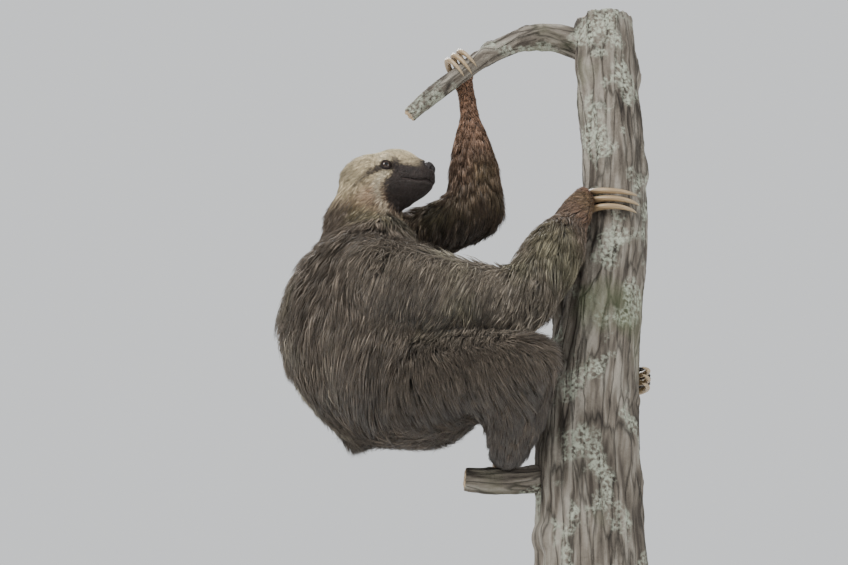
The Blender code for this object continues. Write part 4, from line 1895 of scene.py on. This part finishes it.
@dataclass
class Wood:
    """The cut stem with its bough and stub, in bark."""

    names: tuple[str, ...] = ("perch_stem", "perch_bough", "perch_stub")
    voxel: float = 0.0026
    relax: int = 4
    slim_voxel: float = 0.6  # on the bough and the stub, the voxel against the stem's
    slim_relief: float = 0.42  # and the relief against the stem's
    furrow: float = 0.015
    ridge: float = 0.0026
    swell: float = 0.0030
    lump: float = 0.0045
    lump_size: float = 0.060
    proud: float = 0.0012
    splinter: float = 0.0016
    splinter_size: float = 0.004
    knot_edge: Pair = (0.34, 0.62)
    end_reach: float = 0.012  # how far from its ends the wood may be a cut face
    cut_edge: Pair = (0.70, 0.92)  # how squarely a cut face looks along the wood
    ring_span: float = 0.06  # the distance from the heart that the rings are counted over
    clearance: float = 0.0012
    margin: float = 0.002
    reach: float = 0.018  # how deep in the wood a tuft may be and still be drawn out

    def build(self) -> None:
        """Dresses the three lengths of wood."""
        bark = BarkFinish().material()
        meshes = []
        for name in self.names:
            meshes.append(self.grow(name))
            piece = new_piece(name.replace("perch", "bark"), meshes[-1], bark)
            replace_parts(piece, name)
        self.surface, places, _ = face_tree(meshes)
        self.low, self.high = places.min(0), places.max(0)

    def grow(self, name: str) -> Mesh:
        """One length of wood: rounded, furrowed and marked where it is cut.

        Args:
            name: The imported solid.

        Returns:
            Its mesh, with the bark's grain and the cut ends as attributes.
        """
        stout = name == "perch_stem"
        thick = 1.0 if stout else self.slim_relief
        voxel = self.voxel if stout else self.voxel * self.slim_voxel
        mesh = evened(welded_copy(name), voxel, self.relax)
        places, normals = mesh_arrays(mesh)
        grain, along, away = Centreline(name).read(places)
        reach = grain[:, 2]
        end = (reach > reach.max() - self.end_reach) | (reach < reach.min() + self.end_reach)
        cut = ease(np.abs((normals * along).sum(1)), *self.cut_edge) * end
        furrow_size, lump_size = self.furrow * thick + 0.002, self.lump_size * thick
        furrows = waves(grain * (1.0, 1.0, 0.20), furrow_size, Wave.FURROWS, 3)
        broad = waves(grain * (1.0, 1.0, 0.5), lump_size, Wave.WOOD_SWELL, 1)
        knots = ease(waves(places, lump_size, Wave.KNOTS, 1), *self.knot_edge)
        rise = self.ridge * (1.0 - 2.6 * np.abs(furrows) - 0.5) + self.swell * broad
        rise = rise + self.lump * knots
        rise = (rise * thick + self.proud * thick) * (1.0 - cut)
        places = places + normals * rise[:, None]
        if not stout:
            splinter = waves(grain * (1.0, 1.0, 0.3), self.splinter_size, Wave.SPLINTERS)
            places = places + along * (splinter * self.splinter * cut)[:, None]
        move_points(mesh, places)
        set_tint(mesh, np.stack([cut, away / self.ring_span, np.zeros_like(cut)], 1), CUT)
        set_grain(mesh, grain)
        return mesh

    def push_out(self, path: Array) -> tuple[Array, Array]:
        """Draws the points of tufts that are inside the wood to just outside it.

        Args:
            path: The tufts' points, tuft by step by XYZ.

        Returns:
            The points, and for each whether it was inside.
        """
        flat = path.reshape(-1, 3).copy()
        moved = np.zeros(len(flat), dtype=bool)
        near = ((flat > self.low - self.margin) & (flat < self.high + self.margin)).all(1)
        for i in np.nonzero(near)[0].tolist():
            spot, normal, _, _ = self.surface.find_nearest(flat[i].tolist(), self.reach)
            if spot is not None and (Vector(flat[i]) - spot).dot(normal) < self.clearance:
                flat[i] = spot + normal * self.clearance
                moved[i] = True
        return flat.reshape(path.shape), moved.reshape(path.shape[:2])


# ---------- claws, nose and eyes
@dataclass
class Claws:
    """The hooked claws, three to a limb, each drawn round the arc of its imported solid."""

    limbs: tuple[str, ...] = ("hand_left", "hand_right", "foot_left", "foot_right")
    sides: int = 14
    rings: int = 26
    half_depth: float = 0.0047
    half_width: float = 0.0034
    inner: float = 0.72  # the depth inside the hook against that outside it
    tip: float = 0.07  # the tip's size against the root's
    neck: Triple = (0.80, 0.20, 6.0)  # the root's size, what it gains, and how soon
    thinning: Pair = (2.4, 0.75)  # the powers that the claw thins by along its length
    root_in: float = 0.009
    root_arc: float = 0.25  # the shares of the arc whose radius is read, at the root
    tip_arc: float = 0.12  # and at the tip
    root_edge: Pair = (0.12, 0.38)  # the shares of its length where its colour changes
    tip_edge: Pair = (0.55, 1.0)
    tip_most: float = 0.8
    horn: Colour = (0.340, 0.250, 0.150)
    horn_root: Colour = (0.120, 0.080, 0.050)
    horn_tip: Colour = (0.450, 0.360, 0.240)

    def build(self) -> None:
        """Makes all the claws."""
        horn = HornFinish().material()
        for limb in self.limbs:
            for k in (1, 2, 3):
                name = f"claw_{limb}_{k}"
                mesh = self.draw(name, node_middle(limb))
                piece = new_piece(f"horn_{limb}_{k}", mesh, horn)
                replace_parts(piece, name)

    def draw(self, name: str, palm: Array) -> Mesh:
        """One claw: a keeled section carried round the arc and drawn to a point.

        Args:
            name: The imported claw, whose arc is read.
            palm: The middle of the hand or foot, which the claw's root is nearest to.

        Returns:
            The claw's mesh.
        """
        hub, axes, angles, radii = self.arc(node_points(name), palm)
        work = bmesh.new()
        made = bmesh.ops.create_circle(work, cap_ends=True, segments=self.sides, radius=1.0)
        ring = made["verts"]
        keel = [v.co.copy() for v in ring]
        edges = work.edges[:]
        tints, grain = [], []
        least, gain, soon = self.neck
        early, late = self.thinning
        for k in range(self.rings):
            share = k / (self.rings - 1)
            turn = angles[0] + (angles[1] - angles[0]) * share
            full = least + gain * min(1.0, share * soon)
            size = (1.0 - share**early) ** late * full + self.tip
            out = axes[0] * math.cos(turn) + axes[1] * math.sin(turn)
            spine = hub + out * (radii[0] + (radii[1] - radii[0]) * share)
            if k:
                grown = bmesh.ops.extrude_edge_only(work, edges=edges)["geom"]
                edges = [g for g in grown if isinstance(g, bmesh.types.BMEdge)]
                ring = self.in_order(edges, ring)
            for vert, spot in zip(ring, keel):
                deep = self.half_depth * size * (self.inner if spot.x < 0 else 1.0)
                wide = self.half_width * size
                vert.co = Vector(spine + out * (spot.x * deep) + axes[2] * (spot.y * wide))
            tints += [share] * len(ring)
            grain += [(spot.x, spot.y, share * 0.9) for spot in keel]
        bmesh.ops.contextual_create(work, geom=edges)
        bmesh.ops.recalc_face_normals(work, faces=work.faces)
        self.sort_faces(work)
        mesh = to_mesh(work, name.replace("claw", "horn"))
        share = np.array(tints)
        rows = mix(self.horn_root, self.horn, ease(share, *self.root_edge))
        set_tint(mesh, mix(rows, self.horn_tip, ease(share, *self.tip_edge) * self.tip_most))
        set_grain(mesh, np.array(grain))
        return mesh

    def arc(self, points: Array, palm: Array) -> tuple[Array, Array, Pair, Pair]:
        """Reads the arc that a packed claw is bent round.

        Args:
            points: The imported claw's points.
            palm: The middle of the hand or foot.

        Returns:
            The arc's centre; the claw's own axes, of which the first two span the arc; and the
            arc's angle and radius at the root and at the tip.
        """
        middle = points.mean(0)
        axes = np.linalg.svd(points - middle, full_matrices=False)[2]
        flat = (points - middle) @ axes[:2].T
        system = np.column_stack([2 * flat, np.ones(len(flat))])
        centre = np.linalg.lstsq(system, (flat**2).sum(1), rcond=None)[0][:2]
        d = flat - centre
        mean = math.atan2(d[:, 1].mean(), d[:, 0].mean())
        angle = np.arctan2(d[:, 1], d[:, 0])
        angle = (angle - mean + math.pi) % (2 * math.pi) - math.pi
        radius = np.hypot(d[:, 0], d[:, 1])
        start, end = angle.min(), angle.max()
        low, high = points[np.argmin(angle)], points[np.argmax(angle)]
        if np.linalg.norm(low - palm) >= np.linalg.norm(high - palm):
            start, end = end, start
        span = end - start
        at_root = radius[np.abs(angle - start) < abs(span) * self.root_arc].mean()
        at_tip = radius[np.abs(angle - end) < abs(span) * self.tip_arc].mean()
        start -= math.copysign(self.root_in / at_root, span)
        hub = middle + axes[0] * centre[0] + axes[1] * centre[1]
        return hub, axes, (start + mean, end + mean), (at_root, at_tip)

    @staticmethod
    def in_order(
        edges: list[bmesh.types.BMEdge], before: list[bmesh.types.BMVert]
    ) -> list[bmesh.types.BMVert]:
        """Puts a new ring's vertices in the order of the ring that it was drawn from.

        Args:
            edges: The new ring's edges.
            before: The vertices of the ring before.

        Returns:
            The new ring's vertices.
        """
        fresh = {v for e in edges for v in e.verts}
        beside = ([e.other_vert(vert) for e in vert.link_edges] for vert in before)
        return [next(v for v in others if v in fresh) for others in beside]

    @staticmethod
    def sort_faces(work: bmesh.types.BMesh) -> None:
        """Sorts the faces by their vertices, as extruding leaves them in no set order.

        Args:
            work: The claw.
        """
        work.verts.index_update()
        rows = {face: [vert.index for vert in face.verts] for face in work.faces}
        work.faces.sort(key=lambda face: min(rows[face]) * len(work.verts) + max(rows[face]))


@dataclass
class Features:
    """The nose pad and the two eyes."""

    face: Face
    pad_square: Triple = (0.72, 0.90, 0.90)  # below 1 the ball's side is squarer that way
    pad_taper: float = 0.20
    pad_lean: float = 0.0012
    nostril: Triple = (0.0056, 0.0050, -0.0010)
    nostril_size: Pair = (0.0021, 0.0019)
    nostril_depth: float = 0.0036
    nostril_slant: float = 0.25
    wing_ring: Pair = (0.0036, 0.0012)  # the rim round a nostril: its radius and its width
    wing_rise: float = 0.0006
    cleft_width: float = 0.0007
    cleft_depth: float = 0.0012
    cornea: float = 0.025
    iris_edge: Pair = (40.0, 34.0)  # degrees from the eye's axis
    pupil_edge: Pair = (19.0, 15.0)
    iris: Colour = (0.026, 0.013, 0.006)
    pupil: Colour = (0.002, 0.002, 0.002)
    rim: Colour = (0.010, 0.006, 0.005)

    def build(self) -> None:
        """Makes the nose pad and the eyes."""
        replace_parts(self.nose(), "nose")
        finish = EyeFinish().material()
        for side in Side:
            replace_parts(self.eye(side, finish), "eye_" + side.name.lower())

    def nose(self) -> bpy.types.Object:
        """Shapes a broad pad, flat in front, with comma-shaped nostrils and a cleft under them.

        Returns:
            The nose pad.
        """
        size = np.array(self.face.nose_size)
        mesh = ball("nose_pad")
        p, _ = mesh_arrays(mesh)
        p = np.sign(p) * np.abs(p) ** np.array(self.pad_square) * size
        p[:, 1] *= 1.0 - self.pad_taper * ease(p[:, 2], 0.0, -size[2])
        p[:, 0] += self.pad_lean * ease(p[:, 2], -size[2], size[2])
        wide, tall = self.nostril_size
        radius, width = self.wing_ring
        for sign in (1, -1):
            d = p - np.array(self.nostril) * (1, sign, 1)
            slant = (d[:, 2] + self.nostril_slant * sign * d[:, 1]) / tall
            hole = np.exp(-((d[:, 1] / wide) ** 2) - slant**2) * (p[:, 0] > 0.0)
            p[:, 0] -= self.nostril_depth * hole
            wing = bell(np.hypot(d[:, 1], d[:, 2]) - radius, width) * (p[:, 0] > 0.0)
            p[:, 0] += self.wing_rise * wing
        cleft = bell(p[:, 1], self.cleft_width) * ease(p[:, 2], 0.001, -0.002) * (p[:, 0] > 0.0)
        p[:, 0] -= self.cleft_depth * cleft
        move_points(mesh, self.face.world(p + self.face.nose_seat))
        return new_piece("nose_pad", mesh, NoseFinish().material())

    def eye(self, side: Side, finish: Material) -> bpy.types.Object:
        """Shapes an eyeball with a slight swell of the cornea, an iris and a pupil.

        Args:
            side: Which eye.
            finish: Its material.

        Returns:
            The eyeball.
        """
        name = "eyeball_" + side.name.lower()
        mesh = ball(name)
        p, _ = mesh_arrays(mesh)
        ahead = p @ self.face.gaze(side)
        swell = 1.0 + self.cornea * ease(ahead, 0.76, 0.95)
        ring = np.degrees(np.arccos(np.clip(ahead, -1, 1)))
        rows = mix(self.rim, self.iris, ease(ring, *self.iris_edge))
        rows = mix(rows, self.pupil, ease(ring, *self.pupil_edge))
        p = p * swell[:, None] * self.face.eye_ball + self.face.sockets[side]
        move_points(mesh, self.face.world(p))
        set_tint(mesh, rows)
        return new_piece(name, mesh, finish)


# ---------- stand and studio
@dataclass
class Stand:
    """The base, collar and rod keep their solids and take their finishes."""

    wooden: tuple[str, ...] = ("stand_base",)
    metal: tuple[str, ...] = ("stand_collar", "stand_rod")

    def build(self) -> None:
        """Dresses the stand."""
        looks = ((self.wooden, BaseFinish().material()), (self.metal, SteelFinish().material()))
        for names, finish in looks:
            for name in names:
                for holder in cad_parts[name].material_slots:
                    holder.material = finish
                LOG.info("%s: dressed", name)


@dataclass
class Studio:
    """A pale floor, soft lights and the camera, which looks up at the animal."""

    look_up: float = math.radians(18.0)
    distance: float = 1.79
    width: float = 0.933  # what the frame takes in at the animal
    sensor: float = 36.0
    target: Triple = (-0.0946, 0.0, 0.600)
    floor_size: float = 60.0
    floor_colour: Colour = (0.80, 0.80, 0.79)
    floor_roughness: float = 0.8
    surround: Colour = (0.86, 0.88, 0.90)
    # each light's place, side and power
    lights: tuple[tuple[str, Triple, float, float], ...] = (
        ("key", (-1.5, -1.7, 2.1), 1.1, 85.0),
        ("fill", (1.9, -1.6, 1.0), 1.6, 22.0),
        ("crown", (-0.5, 1.3, 2.3), 1.1, 58.0),
    )

    def build(self) -> None:
        """Places everything that isn't the model."""
        self.floor()
        self.world()
        self.camera()
        for name, place, size, power in self.lights:
            self.light(name, Vector(place), size, power)

    def floor(self) -> None:
        """A wide plain floor at the foot of the stand."""
        work = bmesh.new()
        bmesh.ops.create_grid(work, x_segments=1, y_segments=1, size=self.floor_size / 2)
        mesh = to_mesh(work, "floor")
        pale = Board("floor_pale").finish(
            Base_Color=self.floor_colour, Roughness=self.floor_roughness
        )
        mesh.materials.append(pale)
        put("floor", mesh)

    def world(self) -> None:
        """An even, pale surround."""
        sky = bpy.data.worlds.new("surround")
        sky.use_nodes = True
        back = sky.node_tree.nodes["Background"]
        back.inputs["Color"].default_value = (*self.surround, 1.0)
        back.inputs["Strength"].default_value = 1.0
        bpy.context.scene.world = sky

    def camera(self) -> None:
        """The camera, low down, with the frame's width at the animal."""
        data = bpy.data.cameras.new("camera")
        data.sensor_width = self.sensor
        data.lens = self.sensor * self.distance / self.width
        view = put("camera", data)
        back = Vector((0.0, -math.cos(self.look_up), -math.sin(self.look_up)))
        view.location = Vector(self.target) + back * self.distance
        view.rotation_euler = (-back).to_track_quat("-Z", "Y").to_euler()
        bpy.context.scene.camera = view

    def light(self, name: str, place: Vector, size: float, power: float) -> None:
        """A square soft light that faces the target.

        Args:
            name: Its name.
            place: Where it hangs.
            size: Its side.
            power: Its power in watts.
        """
        data = bpy.data.lights.new(name, "AREA")
        data.size = size
        data.energy = power
        lamp = put(name, data)
        lamp.location = place
        lamp.rotation_euler = (Vector(self.target) - place).to_track_quat("-Z", "Y").to_euler()


def coat_pieces() -> tuple[CoatPiece, ...]:
    """The pieces of the coat in the order that they are combed.

    Returns:
        Each piece with its parts and the number of its tufts.
    """
    head = ("head",)
    arm_left, arm_right = Limb.ARM.parts(Side.LEFT), Limb.ARM.parts(Side.RIGHT)
    leg_left, leg_right = Limb.LEG.parts(Side.LEFT), Limb.LEG.parts(Side.RIGHT)
    return (
        CoatPiece("coat_face", head, 29000, "coat_face", clump=0.003, gather=0.20, front=True),
        CoatPiece("coat_hood", head, 31000, "coat_face", clump=0.005, gather=0.42, front=False),
        CoatPiece("coat_neck", ("neck",), 12500),
        CoatPiece("coat_torso", ("torso", "tail"), 31000, fine=0.95, long=0.9),
        CoatPiece("coat_torso_long", ("torso",), 14500, steps=3, fine=0.85, long=1.1),
        CoatPiece("coat_arm_left", arm_left, 25500, "coat_arm"),
        CoatPiece("coat_arm_right", arm_right, 26000, long=0.9),
        CoatPiece("coat_arm_right_long", arm_right, 9000, steps=3, fine=0.9, long=1.1),
        CoatPiece("coat_leg_left", leg_left, 23500),
        CoatPiece("coat_leg_right", leg_right, 26000),
    )


def main() -> None:
    """Builds the model piece by piece."""
    logging.basicConfig(level=logging.INFO, format="%(message)s")
    Studio().build()
    Stand().build()
    wood = Wood()
    wood.build()
    Claws().build()
    face = Face()
    skin = Skin(face)
    skin.build()
    Features(face).build()
    hair = HairFinish().material()
    for piece in coat_pieces():
        piece.build(skin, wood, hair)


if __name__ == "__main__":
    main()
